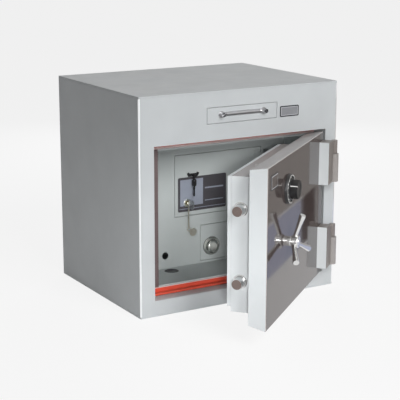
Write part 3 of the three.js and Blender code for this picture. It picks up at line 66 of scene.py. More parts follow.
JOINTS = {joint["name"]: joint for joint in frame["joints"]}
BODY_OF = {node: body for body, nodes in frame["record"]["behaviour"]["bodies"].items() for node in nodes}

Colour = tuple[float, float, float, float]
Shade = tuple[int, int, int]
Pair = tuple[float, float]
Triple = Sequence[float]
Socket = bpy.types.NodeSocket
Value = Union[Socket, float]

WHITE: Colour = (1.0, 1.0, 1.0, 1.0)
BRIGHT_EDGE: Colour = (0.9, 0.9, 0.9, 1.0)


def screen(red: int, green: int, blue: int) -> Colour:
    """Turns a colour as a screen shows it into the shader's own.

    Args:
        red, green, blue: values of 0 to 255.

    Returns:
        The linear colour with full alpha.
    """
    shares = [value / 255 for value in (red, green, blue)]
    linear = [s / 12.92 if s <= 0.04045 else ((s + 0.055) / 1.055) ** 2.4 for s in shares]
    return (*linear, 1.0)


def turned_about(joint: str, degrees: float) -> Matrix:
    """Gives the turn about a joint's own axis, in millimetres.

    Args:
        joint: the joint's name.
        degrees: how far to turn.

    Returns:
        The matrix of that turn.
    """
    pivot = Vector(JOINTS[joint]["pos_m"]) / MM
    turn = Matrix.Rotation(math.radians(degrees), 4, Vector(JOINTS[joint]["axis"]))
    return Matrix.Translation(pivot) @ turn @ Matrix.Translation(-pivot)


AJAR = turned_about("door_hinge", -JOINTS["door_hinge"]["range_deg"][0])


@dataclass(frozen=True)
class Room:
    """The box that a node fills, in millimetres, with the main door's pieces taken as shut."""

    low: Vector
    high: Vector

    @property
    def centre(self) -> Vector:
        """The middle of the box."""
        return (self.low + self.high) / 2

    @property
    def size(self) -> Vector:
        """The box's width, depth and height."""
        return self.high - self.low


def room_of(node: str, turn: Matrix = STILL) -> Room:
    """Measures a node of the frame.

    Args:
        node: the node's name.
        turn: the turn that its sub-assembly was given after it was laid out.

    Returns:
        Its box before that turn.
    """
    back = turn.inverted()
    points = [back @ (v.co / MM) for v in frame["nodes"][node].data.vertices]
    low = Vector([min(p[axis] for p in points) for axis in range(3)])
    high = Vector([max(p[axis] for p in points) for axis in range(3)])
    return Room(low, high)


def put(name: str, data: bpy.types.ID, matrix: Matrix = STILL) -> bpy.types.Object:
    """Puts an object into the scene.

    Args:
        name: the object's name.
        data: its mesh, curve, lamp or camera.
        matrix: its place.

    Returns:
        The object.
    """
    thing = bpy.data.objects.new(name, data)
    thing.matrix_world = matrix
    bpy.context.scene.collection.objects.link(thing)
    return thing


class Graph:
    """Wires one node tree with short calls."""

    def __init__(self, tree: bpy.types.NodeTree) -> None:
        """Starts on an empty tree."""
        self.tree = tree
        self.tree.nodes.clear()

    def feed(self, node: bpy.types.Node, inputs: dict) -> None:
        """Sets or links a node's inputs.

        Args:
            node: the node.
            inputs: values, or the sockets that feed them, by name or number.
        """
        for key, value in inputs.items():
            if isinstance(value, Socket):
                self.tree.links.new(value, node.inputs[key])
            else:
                node.inputs[key].default_value = value

    def add(self, kind: str, inputs: Optional[dict] = None, **settings: object) -> bpy.types.Node:
        """Adds a node.

        Args:
            kind: the node's type without its ShaderNode prefix.
            inputs: values or sockets for its inputs, by name or number.
            settings: attributes of the node.

        Returns:
            The new node.
        """
        node = self.tree.nodes.new(kind if kind.startswith("Node") else "ShaderNode" + kind)
        for name, value in settings.items():
            setattr(node, name, value)
        self.feed(node, inputs or {})
        return node

    def effect(self, group: bpy.types.NodeTree, **inputs: object) -> bpy.types.Node:
        """Places a shared node group with its own values and returns the node."""
        return self.add("Group", inputs, node_tree=group)

    def math(self, operation: str, *values: Value, clamp: bool = False) -> Socket:
        """Adds a sum of values and returns its socket."""
        return self.add("Math", dict(enumerate(values)), operation=operation, use_clamp=clamp).outputs[0]

    def mix(self, factor: Value, first: Socket, second: Union[Socket, Colour]) -> Socket:
        """Mixes two colours and returns the result's socket."""
        return self.add("Mix", {0: factor, 6: first, 7: second}, data_type="RGBA").outputs[2]

    def spread(self, value: Socket, low: float, high: float) -> Socket:
        """Maps a value's range to 0 to 1, clamped, and returns its socket."""
        return self.add("MapRange", {0: value, 1: low, 2: high}, clamp=True).outputs[0]

    def place(self) -> Socket:
        """Gives the object's own coordinates."""
        return self.add("TexCoord").outputs["Object"]

    def noise(self, place: Socket, **inputs: Value) -> Socket:
        """Adds noise at a place and returns its socket."""
        return self.add("TexNoise", {"Vector": place, **inputs}).outputs[0]


def new_group(name: str, inputs: dict, outputs: Sequence[str], wire: Callable[..., tuple]) -> bpy.types.NodeTree:
    """Builds a shader node group with named sockets.

    Args:
        name: the group's name.
        inputs: socket names with their default values.
        outputs: names of what it puts out.
        wire: takes the group's graph and its input sockets in order, and returns the output sockets in order.

    Returns:
        The group.
    """
    tree = bpy.data.node_groups.new(name, "ShaderNodeTree")
    for label, value in inputs.items():
        kind = "NodeSocketColor" if isinstance(value, tuple) else "NodeSocketFloat"
        tree.interface.new_socket(name=label, in_out="INPUT", socket_type=kind).default_value = value
    for label in outputs:
        kind = "NodeSocketColor" if label == "Colour" else "NodeSocketFloat"
        tree.interface.new_socket(name=label, in_out="OUTPUT", socket_type=kind)
    graph = Graph(tree)
    start, end = graph.add("NodeGroupInput"), graph.add("NodeGroupOutput")
    made = wire(graph, *[start.outputs[label] for label in inputs])
    graph.feed(end, dict(zip(outputs, made)))
    return tree


class Effects:
    """The shader node groups that several finishes share, each built once."""

    def __init__(self) -> None:
        """Builds every group."""
        self.mottle = new_group(
            "tone_drift", {"Colour": WHITE, "Second": WHITE, "Scale": 9.0}, ["Colour"], self._mottle,
        )
        self.worn_edge = new_group(
            "worn_edge", {"Colour": WHITE, "Bare": WHITE, "Width": 0.0012, "Amount": 0.5}, ["Colour", "Mask"],
            self._worn_edge,
        )
        self.orange_peel = new_group(
            "orange_peel", {"Scale": 420.0, "Grit": 0.25}, ["Height"], self._orange_peel,
        )
        self.brushing = new_group(
            "brushing", {"Along": 6.0, "Across": 900.0, "Upright": 900.0, "Dull": 0.34, "Bright": 0.22},
            ["Height", "Roughness"], self._brushing,
        )
        self.dust = new_group("settled_dust", {"Colour": WHITE, "Amount": 0.15}, ["Colour"], self._dust)
        self.handling = new_group(
            "handling", {"Clean": 0.3, "Smeared": 0.42, "Scale": 16.0}, ["Roughness"], self._handling,
        )

    @staticmethod
    def _mottle(graph: Graph, colour: Socket, second: Socket, scale: Socket) -> tuple[Socket, ...]:
        """Slow drift between two near tones of one paint or metal."""
        cloud = graph.noise(graph.place(), Scale=scale, Detail=4.0, Roughness=0.55)
        return (graph.mix(graph.spread(cloud, 0.3, 0.7), colour, second),)

    @staticmethod
    def _worn_edge(graph: Graph, colour: Socket, bare: Socket, width: Socket, amount: Socket) -> tuple[Socket, ...]:
        """Rubbed corners, where the finish has thinned."""
        rounded = graph.add("Bevel", {"Radius": width}, samples=4).outputs[0]
        flat = graph.add("NewGeometry").outputs["Normal"]
        facing = graph.add("VectorMath", {0: rounded, 1: flat}, operation="DOT_PRODUCT").outputs["Value"]
        chips = graph.noise(graph.place(), Scale=130.0, Detail=6.0, Roughness=0.65)
        rubbed = graph.math("MULTIPLY", graph.spread(facing, 0.995, 0.86), graph.spread(chips, 0.42, 0.62))
        mask = graph.math("MULTIPLY", rubbed, amount, clamp=True)
        return graph.mix(mask, colour, bare), mask

    @staticmethod
    def _orange_peel(graph: Graph, scale: Socket, grit: Socket) -> tuple[Socket, ...]:
        """The fine waviness and grit of sprayed or baked paint."""
        place = graph.place()
        peel = graph.noise(place, Scale=scale, Detail=1.5)
        fine = graph.noise(place, Scale=graph.math("MULTIPLY", scale, 4.5), Detail=2.0)
        return (graph.math("MULTIPLY_ADD", fine, grit, peel),)

    @staticmethod
    def _brushing(
        graph: Graph, along: Socket, across: Socket, upright: Socket, dull: Socket, bright: Socket,
    ) -> tuple[Socket, ...]:
        """Long fine scratches along one axis, as height and as uneven polish."""
        stretch = graph.add("CombineXYZ", {0: along, 1: across, 2: upright}).outputs[0]
        drawn = graph.add("VectorMath", {0: graph.place(), 1: stretch}, operation="MULTIPLY").outputs[0]
        lines = graph.noise(drawn, Scale=1.0, Detail=3.0, Roughness=0.6)
        return lines, graph.math("MULTIPLY_ADD", lines, graph.math("SUBTRACT", dull, bright), bright)

    @staticmethod
    def _dust(graph: Graph, colour: Socket, amount: Socket) -> tuple[Socket, ...]:
        """Thin dust that settles where a face looks up."""
        normal = graph.add("NewGeometry").outputs["Normal"]
        upward = graph.spread(graph.add("SeparateXYZ", {0: normal}).outputs[2], 0.45, 1.0)
        patches = graph.noise(graph.place(), Scale=7.0, Detail=6.0, Roughness=0.7)
        lying = graph.math("MULTIPLY", upward, graph.spread(patches, 0.35, 0.75))
        return (graph.mix(graph.math("MULTIPLY", lying, amount, clamp=True), colour, screen(206, 200, 190)),)

    @staticmethod
    def _handling(graph: Graph, clean: Socket, smeared: Socket, scale: Socket) -> tuple[Socket, ...]:
        """Uneven sheen left by hands and wiping."""
        smears = graph.noise(graph.place(), Scale=scale, Detail=5.0, Distortion=0.6)
        span = graph.math("SUBTRACT", smeared, clean)
        return (graph.math("MULTIPLY_ADD", graph.spread(smears, 0.35, 0.7), span, clean),)


EFFECTS = Effects()


class Grain(Enum):
    """Which way a metal was brushed or turned."""

    ALONG_X = (6.0, 900.0, 900.0)
    ALONG_Z = (900.0, 900.0, 6.0)


@dataclass(frozen=True)
class Finish:
    """A finish that dresses pieces: its name, its record slot, two near tones and one shared material."""

    name: str
    slot: str
    colour: Shade
    second: Shade

    def material(self) -> bpy.types.Material:
        """Gives the finish's material, built the first time it is asked for."""
        known = bpy.data.materials.get(self.name)
        return known or self.build(bpy.data.materials.new(self.name))

    def build(self, material: bpy.types.Material) -> bpy.types.Material:
        """Wires a new material and returns it."""
        material.use_nodes = True
        graph = Graph(material.node_tree)
        shader = graph.add("BsdfPrincipled")
        self.wire(graph, shader)
        graph.add("OutputMaterial", {0: shader.outputs[0]})
        return material

    def tone(self, graph: Graph, **inputs: float) -> Socket:
        """Gives the drift between the finish's two tones."""
        shades = {"Colour": screen(*self.colour), "Second": screen(*self.second)}
        return graph.effect(EFFECTS.mottle, **shades, **inputs).outputs[0]

    def bump(self, graph: Graph, strength: float, distance: float, height: Socket) -> Socket:
        """Turns a height into a normal."""
        return graph.add("Bump", {"Strength": strength, "Distance": distance, "Height": height}).outputs[0]

    def wire(self, graph: Graph, shader: bpy.types.Node) -> None:
        """Feeds the shader; each kind of finish has its own way."""
        raise NotImplementedError


@dataclass(frozen=True)
class Paint(Finish):
    """Powder coat or lacquer: drifting tone, orange peel, rubbed edges and a little dust."""

    bare: Shade = (150, 150, 150)
    clean: float = 0.32
    smeared: float = 0.42
    peel: float = 0.05
    peel_scale: float = 420.0
    wear: float = 0.35
    dust: float = 0.12

    def wire(self, graph: Graph, shader: bpy.types.Node) -> None:
        """Stacks tone, wear and dust into the colour, and the peel into the normal."""
        worn = graph.effect(EFFECTS.worn_edge, Colour=self.tone(graph), Bare=screen(*self.bare), Amount=self.wear)
        dusty = graph.effect(EFFECTS.dust, Colour=worn.outputs["Colour"], Amount=self.dust)
        touched = graph.effect(EFFECTS.handling, Clean=self.clean, Smeared=self.smeared)
        wavy = graph.effect(EFFECTS.orange_peel, Scale=self.peel_scale)
        graph.feed(shader, {
            "Base Color": dusty.outputs[0], "Roughness": touched.outputs[0],
            "Normal": self.bump(graph, self.peel, MM, wavy.outputs[0]),
        })


@dataclass(frozen=True)
class Metal(Finish):
    """Bare, plated or brushed metal with its grain, tone drift and bright edges."""

    grain: Grain = Grain.ALONG_Z
    dull: float = 0.34
    bright: float = 0.22
    scratch: float = 0.04
    wear: float = 0.3

    def wire(self, graph: Graph, shader: bpy.types.Node) -> None:
        """Puts the tone and bright edges into the colour, the grain into polish and normal."""
        tone = self.tone(graph, Scale=38.0)
        worn = graph.effect(EFFECTS.worn_edge, Colour=tone, Bare=BRIGHT_EDGE, Amount=self.wear, Width=0.0006)
        stretch = dict(zip(("Along", "Across", "Upright"), self.grain.value))
        brushed = graph.effect(EFFECTS.brushing, Dull=self.dull, Bright=self.bright, **stretch)
        graph.feed(shader, {
            "Base Color": worn.outputs["Colour"], "Roughness": brushed.outputs["Roughness"], "Metallic": 1.0,
            "Normal": self.bump(graph, self.scratch, 0.2 * MM, brushed.outputs["Height"]),
        })


@dataclass(frozen=True)
class Moulding(Finish):
    """Rubber, plastic, ink or filling: drifting tone, fine grain and handled sheen."""

    clean: float = 0.4
    smeared: float = 0.55
    grain: float = 0.08
    grain_scale: float = 900.0
    dust: float = 0.08

    def wire(self, graph: Graph, shader: bpy.types.Node) -> None:
        """Puts tone and dust into the colour, and the grain into the normal."""
        dusty = graph.effect(EFFECTS.dust, Colour=self.tone(graph, Scale=30.0), Amount=self.dust)
        touched = graph.effect(EFFECTS.handling, Clean=self.clean, Smeared=self.smeared, Scale=40.0)
        rough = graph.effect(EFFECTS.orange_peel, Scale=self.grain_scale)
        graph.feed(shader, {
            "Base Color": dusty.outputs[0], "Roughness": touched.outputs[0],
            "Normal": self.bump(graph, self.grain, 0.5 * MM, rough.outputs[0]),
        })


CASING_PAINT = Paint("casing_powder_coat", "body_paint", (208, 212, 214), (201, 205, 207))
INNER_PAINT = Paint("inner_matt_paint", "inner_paint", (200, 206, 205), (193, 199, 198), clean=0.48, smeared=0.58)
LINER_PAINT = Paint("liner_matt_paint", "inner_paint", (192, 197, 197), (183, 189, 189), clean=0.5, smeared=0.62)
DOOR_LACQUER = Paint(
    "door_gloss_lacquer", "door_paint", (80, 71, 69), (75, 66, 64), (110, 104, 100),
    clean=0.06, smeared=0.1, peel=0.012, peel_scale=240.0, wear=0.25, dust=0.05,
)
# One pale door paint in three tones: the pale tone, which also coats the sides that face the light as painted light; a
# grey tone and a darker hinge tone, painted shade on faces that get less light.
EDGE_PAINT = Paint("door_pale_paint", "door_edge", (232, 236, 238), (226, 231, 233))
DOOR_SHADED_GREY = Paint(
    "door_painted_shade_grey", "door_edge", (186, 181, 180), (180, 175, 174), clean=0.2, smeared=0.28, peel=0.02,
)
HINGE_SHADED_PAINT = Paint("hinge_painted_shade_grey", "door_edge", (136, 129, 125), (130, 123, 119))
BARREL_PAINT = Paint("barrel_grey_paint", "body_paint", (168, 163, 160), (160, 155, 152))
BOLT_END = Paint("bronzed_bolt_end", "bolt_steel", (122, 106, 100), (104, 91, 86), (150, 138, 130), 0.4, 0.5, dust=0.04)

# Bright metal for the rods that paint a highlight along the casing's folded front edges.
CORNER_HIGHLIGHT_METAL = Metal(
    "painted_edge_highlight_metal", "body_paint", (250, 251, 252), (244, 246, 248), dull=0.4, bright=0.3, scratch=0.02,
)
CHROME = Metal(
    "satin_chrome_plate", "bright_chrome", (228, 228, 227), (218, 218, 217), dull=0.3, bright=0.2, scratch=0.02,
)
PULL_SATIN = Metal(
    "satin_pull_tube", "bright_chrome", (186, 186, 188), (176, 176, 178), Grain.ALONG_X, 0.36, 0.26, 0.02,
)
LOCK_NICKEL = Metal(
    "pale_lock_nickel", "bright_chrome", (246, 248, 242), (238, 241, 233), dull=0.34, bright=0.24, scratch=0.02,
)
PLAIN_STEEL = Metal("brushed_plain_steel", "plain_steel", (188, 190, 191), (172, 174, 176))
BOLT_STEEL = Metal(
    "bright_turned_steel", "bolt_steel", (226, 227, 228), (212, 214, 215), Grain.ALONG_X, 0.36, 0.26,
)
BRASS = Metal("dull_lock_brass", "lock_brass", (206, 196, 160), (190, 178, 142), dull=0.42, bright=0.3)
TAG_NICKEL = Metal("pale_tag_nickel", "lock_brass", (226, 224, 212), (212, 208, 192), dull=0.44, bright=0.34)

DIAL_BLACK = Moulding("dial_black_gloss", "dial_black", (20, 20, 22), (26, 26, 28), 0.34, 0.44, 0.03)
DIAL_WHITE = Moulding("dial_white_ink", "dial_black", (238, 238, 236), (230, 230, 228), 0.45, 0.55, 0.02)
SMALL_BLACK = Moulding("small_black_plastic", "small_black", (26, 26, 28), (34, 34, 36))
SEAL_ORANGE = Moulding("orange_seal_strip", "seal", (236, 92, 68), (226, 86, 62), 0.4, 0.52, 0.1)
# Pale strips over and under the orange seals that paint their highlights.
SEAL_PAINTED_HIGHLIGHT = Moulding("pale_seal_painted_highlight", "seal", (240, 212, 208), (236, 204, 200), 0.4, 0.5, 0.1)
# A dark strip that paints the shade along the doorway's left edge.
SEAL_PAINTED_SHADE = Moulding("painted_shade_dark_strip", "seal", (112, 96, 96), (104, 88, 88), 0.5, 0.6, 0.1)
FILLING = Moulding("cast_filling", "fill", (160, 158, 154), (140, 138, 134), 0.8, 0.9, 0.5, 300.0)
PLATE_BORDER = Moulding("plate_dark_border", "name_plate", (62, 62, 66), (56, 56, 60), 0.2, 0.26, 0.03)
PLATE_LINE = Moulding("plate_pale_line", "name_plate", (206, 208, 212), (200, 202, 206), 0.2, 0.26, 0.03)
PLATE_FIELD = Moulding("plate_grey_field", "name_plate", (146, 148, 152), (138, 140, 144), 0.45, 0.55, 0.04)
DOOR_PLATE_FIELD = Moulding("door_plate_brown_field", "name_plate", (84, 75, 73), (78, 69, 67), 0.18, 0.24, 0.02)
LABEL_INK = Moulding("label_charcoal_ink", "name_plate", (80, 77, 82), (74, 72, 76), 0.4, 0.5, 0.03)
LABEL_SILVER = Moulding("label_silver_ink", "name_plate", (158, 164, 178), (150, 156, 170), 0.4, 0.5, 0.03)


class Form:
    """One piece in the making, in millimetres, with its sub-assembly not yet turned."""

    def __init__(self, turn: Matrix = STILL) -> None:
        """Starts with nothing, for a sub-assembly with the given turn."""
        self.bm = bmesh.new()
        self.turn = turn

    def move(self, matrix: Matrix, verts: Optional[list[bmesh.types.BMVert]] = None) -> "Form":
        """Moves vertices, or the whole form, by a matrix."""
        bmesh.ops.transform(self.bm, matrix=matrix, verts=self.bm.verts[:] if verts is None else verts)
        return self

    def cube(self, low: Triple, high: Triple) -> list[bmesh.types.BMVert]:
        """Adds a box.

        Args:
            low, high: its corners.

        Returns:
            Its vertices.
        """
        made = bmesh.ops.create_cube(self.bm, size=1.0)["verts"]
        low, high = Vector(low), Vector(high)
        self.move(Matrix.Translation((low + high) / 2) @ Matrix.Diagonal((*(high - low), 1.0)), made)
        return made

    def block(self, low: Triple, high: Triple) -> "Form":
        """Adds a box between two corners."""
        self.cube(low, high)
        return self

    def thicken(self, step: Triple) -> "Form":
        """Extrudes every face by a step."""
        pushed = bmesh.ops.extrude_face_region(self.bm, geom=self.bm.faces[:])["geom"]
        bmesh.ops.translate(self.bm, vec=step, verts=[v for v in pushed if isinstance(v, bmesh.types.BMVert)])
        return self

    def sheet(self, low: Triple, high: Triple, openings: Iterable[Room]) -> "Form":
        """Adds an upright sheet that faces -Y, with rectangular openings through it.

        Args:
            low, high: the sheet's corners.
            openings: boxes whose X and Z ranges are cut out.

        Returns:
            The form.
        """
        (x0, front, z0), (x1, back, z1) = low, high
        face = bmesh.ops.create_grid(self.bm, x_segments=1, y_segments=1, size=0.5)["verts"]
        upright = Matrix.Rotation(math.radians(90), 4, "X")
        place = Matrix.Translation(((x0 + x1) / 2, front, (z0 + z1) / 2)) @ Matrix.Diagonal((x1 - x0, 1, z1 - z0, 1))
        self.move(place @ upright, face)
        for gap in openings:
            for normal in ((1, 0, 0), (0, 0, 1)):
                for point in (gap.low, gap.high):
                    everything = [*self.bm.verts, *self.bm.edges, *self.bm.faces]
                    bmesh.ops.bisect_plane(self.bm, geom=everything, plane_co=point, plane_no=normal, dist=1e-4)
        for gap in openings:
            inside = [f for f in self.bm.faces if self._within(f.calc_center_median(), gap)]
            bmesh.ops.delete(self.bm, geom=inside, context="FACES")
        return self.thicken((0, back - front, 0))

    @staticmethod
    def _within(point: Vector, gap: Room) -> bool:
        """Says whether a point lies over an opening, seen from the front."""
        return gap.low.x < point.x < gap.high.x and gap.low.z < point.z < gap.high.z

    def rod(self, start: Triple, end: Triple, radius: float, sides: int = 48) -> "Form":
        """Adds a round bar.

        Args:
            start, end: the middles of its two ends.
            radius: its radius.
            sides: sides of the round.

        Returns:
            The form.
        """
        start, end = Vector(start), Vector(end)
        along = end - start
        turn = along.to_track_quat("Z", "Y").to_matrix().to_4x4()
        bmesh.ops.create_cone(
            self.bm, cap_ends=True, segments=sides, radius1=radius, radius2=radius, depth=along.length,
            matrix=Matrix.Translation((start + end) / 2) @ turn,
        )
        return self

    def turned(
        self, profile: Sequence[Pair], centre: Triple, along: Triple = (0, -1, 0), steps: int = 64, ring: bool = False,
    ) -> "Form":
        """Spins a profile into a turned piece.

        Args:
            profile: pairs of radius and distance along the axis.
            centre: where the axis starts.
            along: the axis.
            steps: sides of the round.
            ring: whether the profile closes on itself instead of ending on the axis.

        Returns:
            The form.
        """
        before = set(self.bm.verts)
        line = [self.bm.verts.new((radius, 0, out)) for radius, out in profile]
        edges = [self.bm.edges.new(pair) for pair in zip(line, line[1:])]
        if ring:
            edges.append(self.bm.edges.new((line[-1], line[0])))
        bmesh.ops.spin(
            self.bm, geom=[*line, *edges], cent=(0, 0, 0), axis=(0, 0, 1), dvec=(0, 0, 0),
            angle=math.tau, steps=steps, use_merge=True,
        )
        made = [v for v in self.bm.verts if v not in before]
        bmesh.ops.remove_doubles(self.bm, verts=made, dist=1e-4)
        made = [v for v in self.bm.verts if v not in before]
        turn = Vector(along).to_track_quat("Z", "Y").to_matrix().to_4x4()
        return self.move(Matrix.Translation(Vector(centre)) @ turn, made)

    def rounded_plate(self, low: Triple, high: Triple, radius: float, steps: int = 6) -> "Form":
        """Adds a plate that faces -Y, with its four corners rounded.

        Args:
            low, high: its corners.
            radius: the rounding.
            steps: steps of that rounding.

        Returns:
            The form.
        """
        made = set(self.cube(low, high))
        corners = [
            e for e in self.bm.edges
            if set(e.verts) <= made and abs(e.verts[0].co.y - e.verts[1].co.y) > 1e-6
        ]
        return self._bevel(corners, radius, steps)

    def _bevel(self, edges: list[bmesh.types.BMEdge], width: float, segments: int) -> "Form":
        """Rounds the given edges."""
        bmesh.ops.bevel(
            self.bm, geom=edges, offset=width, offset_type="OFFSET", segments=segments, profile=0.5,
            affect="EDGES", material=-1, clamp_overlap=True, loop_slide=True,
        )
        return self

    def soften(
        self, width: float, segments: int = 2, angle: float = 32.0,
        chosen: Callable[[bmesh.types.BMEdge], bool] = lambda edge: True,
    ) -> "Form":
        """Rounds the form's sharp edges.

        Args:
            width: how far they are rounded.
            segments: steps of that rounding.
            angle: edges that turn by more than this many degrees are sharp.
            chosen: a test that lets an edge through.

        Returns:
            The form.
        """
        limit = math.radians(angle)
        sharp = [e for e in self.bm.edges if len(e.link_faces) == 2 and e.calc_face_angle(0.0) > limit]
        edges = [e for e in sharp if chosen(e)]
        return self._bevel(edges, width, segments) if edges else self

    def join(self, other: bpy.types.Mesh, matrix: Matrix) -> "Form":
        """Adds a mesh, moved by a matrix."""
        before = set(self.bm.verts)
        self.bm.from_mesh(other)
        return self.move(matrix, [v for v in self.bm.verts if v not in before])

    def settle(
        self, name: str, carrier: str, finish: Finish, replaces: Sequence[str] = (), angle: float = 36.0,
        whole: bool = True,
    ) -> bpy.types.Object:
        """Turns the form into a dressed object that rides on its body.

        Args:
            name: the piece's name.
            carrier: the body that carries it, or a node on that body.
            finish: its finish.
            replaces: the nodes that it stands for.
            angle: edges sharper than this many degrees stay sharp in the shading.
            whole: whether doubles are merged and the faces turned outwards.

        Returns:
            The object, at the origin.
        """
        if whole:
            bmesh.ops.remove_doubles(self.bm, verts=self.bm.verts[:], dist=1e-3)
            bmesh.ops.recalc_face_normals(self.bm, faces=self.bm.faces[:])
        self.move(Matrix.Scale(MM, 4) @ self.turn)
        mesh = bpy.data.meshes.new(name)
        self.bm.to_mesh(mesh)
        self.bm.free()
        mesh.shade_smooth()
        mesh.set_sharp_from_angle(angle=math.radians(angle))
        mesh.materials.append(finish.material())
        piece = put(name, mesh)
        piece.modifiers.new("even_shading", "WEIGHTED_NORMAL").keep_sharp = True
        body = BODY_OF.get(carrier, carrier)
        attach(piece, body)
        if replaces:
            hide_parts(*replaces)
        LOG.info("%s: %d faces on %s", name, len(mesh.polygons), body)
        return piece


def merged_copy(node: str, turn: Matrix = STILL) -> Form:
    """Starts a form from a node's own mesh, with its doubles and flat faces merged.

    Args:
        node: the node's name.
        turn: its sub-assembly's turn, which is taken off.

    Returns:
        The form.
    """
    form = Form(turn).join(frame["nodes"][node].data, turn.inverted() @ Matrix.Scale(1 / MM, 4))
    bm = form.bm
    bmesh.ops.remove_doubles(bm, verts=bm.verts[:], dist=1e-3)
    bmesh.ops.dissolve_limit(bm, angle_limit=math.radians(1.0), verts=bm.verts[:], edges=bm.edges[:])
    return form


def fine_copies(finish: Finish, width: float, segments: int, *nodes: str) -> None:
    """Replaces nodes by copies with their sharp edges rounded.

    Args:
        finish: the finish that they get.
        width: how far their edges are rounded, in millimetres.
        segments: steps of that rounding.
        nodes: the nodes' names.
    """
    for node in nodes:
        merged_copy(node).soften(width, segments).settle(f"{node}_fine", node, finish, [node], whole=False)


def side_coat(node: str, finish: Finish, thick: float = 0.2, reach: float = 8.5) -> None:
    """Lays a thin pale coat over the faces of a door's node that look towards the opening: painted light, which makes
    those sides paler than the rest of the same paint.

    Args:
        node: the node that carries the coat.
        finish: the coat's finish.
        thick: its thickness in millimetres.
        reach: how far from the node's side a coated face may lie.
    """
    form = merged_copy(node, AJAR)
    form.bm.normal_update()
    limit = room_of(node, AJAR).low.x + reach
    others = [f for f in form.bm.faces if f.normal.x > -0.93 or f.calc_center_median().x > limit]
    bmesh.ops.delete(form.bm, geom=others, context="FACES")
    form.thicken((-thick, 0, 0)).settle(f"{node}_painted_light_side", node, finish)


def dress(finish: Finish, *nodes: str) -> None:
    """Gives a finish to nodes of the frame that keep their own mesh.

    Args:
        finish: the finish.
        nodes: the nodes' names.
    """
    for node in nodes:
        mesh = frame["nodes"][node].data
        if not mesh.materials:
            mesh.materials.append(None)
        for slot in range(len(mesh.materials)):
            mesh.materials[slot] = finish.material()
        LOG.info("%s dressed with %s", node, finish.name)


@dataclass
class Casing:
    """The sheet casing with its doorway, folded front edges and the filling inside it."""

    edge_radius: float = 4.0
    edge_steps: int = 6
    seam: float = 0.9
    small_edge: float = 0.5
    lining: float = 3.0
    drawer_gap: float = 1.0
    # How far the painted highlight rods stop short of the casing's top and foot.
    line_end: float = 1.5

    def build(self) -> None:
        """Builds every sheet of the casing."""
        self.front()
        # Rods that paint a highlight along the folded front edges.
        self.corners()
        self.lids()
        fine_copies(CASING_PAINT, self.small_edge, 2, "side_left", "side_right", "back_plate", "opening_lining")
        fine_copies(BARREL_PAINT, 0.6, 2, "hinge_barrel_upper", "hinge_barrel_lower")
        dress(FILLING, "barrier_fill")

    def _upright_front(self, edge: bmesh.types.BMEdge) -> bool:
        """Says whether an edge is one of the casing's upright front corners."""
        a, b = (v.co for v in edge.verts)
        outer = room_of("front_plate")
        at_front = abs(a.y - outer.low.y) < 0.1 and abs(b.y - outer.low.y) < 0.1
        return at_front and abs(abs(a.x) - outer.high.x) < 0.1 and abs(a.z - b.z) > 1

    def front(self) -> None:
        """The front sheet, with its folded edges and the two openings."""
        outer, doorway, drawer = room_of("front_plate"), room_of("opening_lining"), room_of("drawer_front")
        inset, gap = Vector((self.lining, 0, self.lining)), Vector((self.drawer_gap, 0, self.drawer_gap))
        openings = [Room(doorway.low + inset, doorway.high - inset), Room(drawer.low - gap, drawer.high + gap)]
        form = Form().sheet(outer.low, outer.high, openings)
        form.soften(self.edge_radius, self.edge_steps, 60, self._upright_front).soften(self.seam, 3, 60)
        form.settle("casing_front", "cabinet", CASING_PAINT, ["front_plate"])

    def corners(self) -> None:
        """A bright metal rod along each folded front edge: a painted highlight of the light on the rounded edge."""
        outer = room_of("front_plate")
        r = self.edge_radius - 0.6
        y, low, high = outer.low.y + r, outer.low.z + self.line_end, outer.high.z - self.line_end
        for side, x in (("left", outer.low.x + r), ("right", outer.high.x - r)):
            bar = Form().rod((x, y, low), (x, y, high), r, 64)
            bar.settle(f"casing_{side}_corner_line", "cabinet", CORNER_HIGHLIGHT_METAL)

    def lids(self) -> None:
        """The top and base sheets, whose front corners follow the folded edges."""
        for node, name in (("top_plate", "casing_top"), ("base_plate", "casing_base")):
            outer = room_of(node)
            form = Form().block(outer.low, outer.high).soften(
                self.edge_radius, self.edge_steps, 60,
                lambda e: abs(e.verts[0].co.z - e.verts[1].co.z) > 1 and e.verts[0].co.y < 0,
            )
            form.soften(self.seam, 3, 60).settle(name, "cabinet", CASING_PAINT, [node])


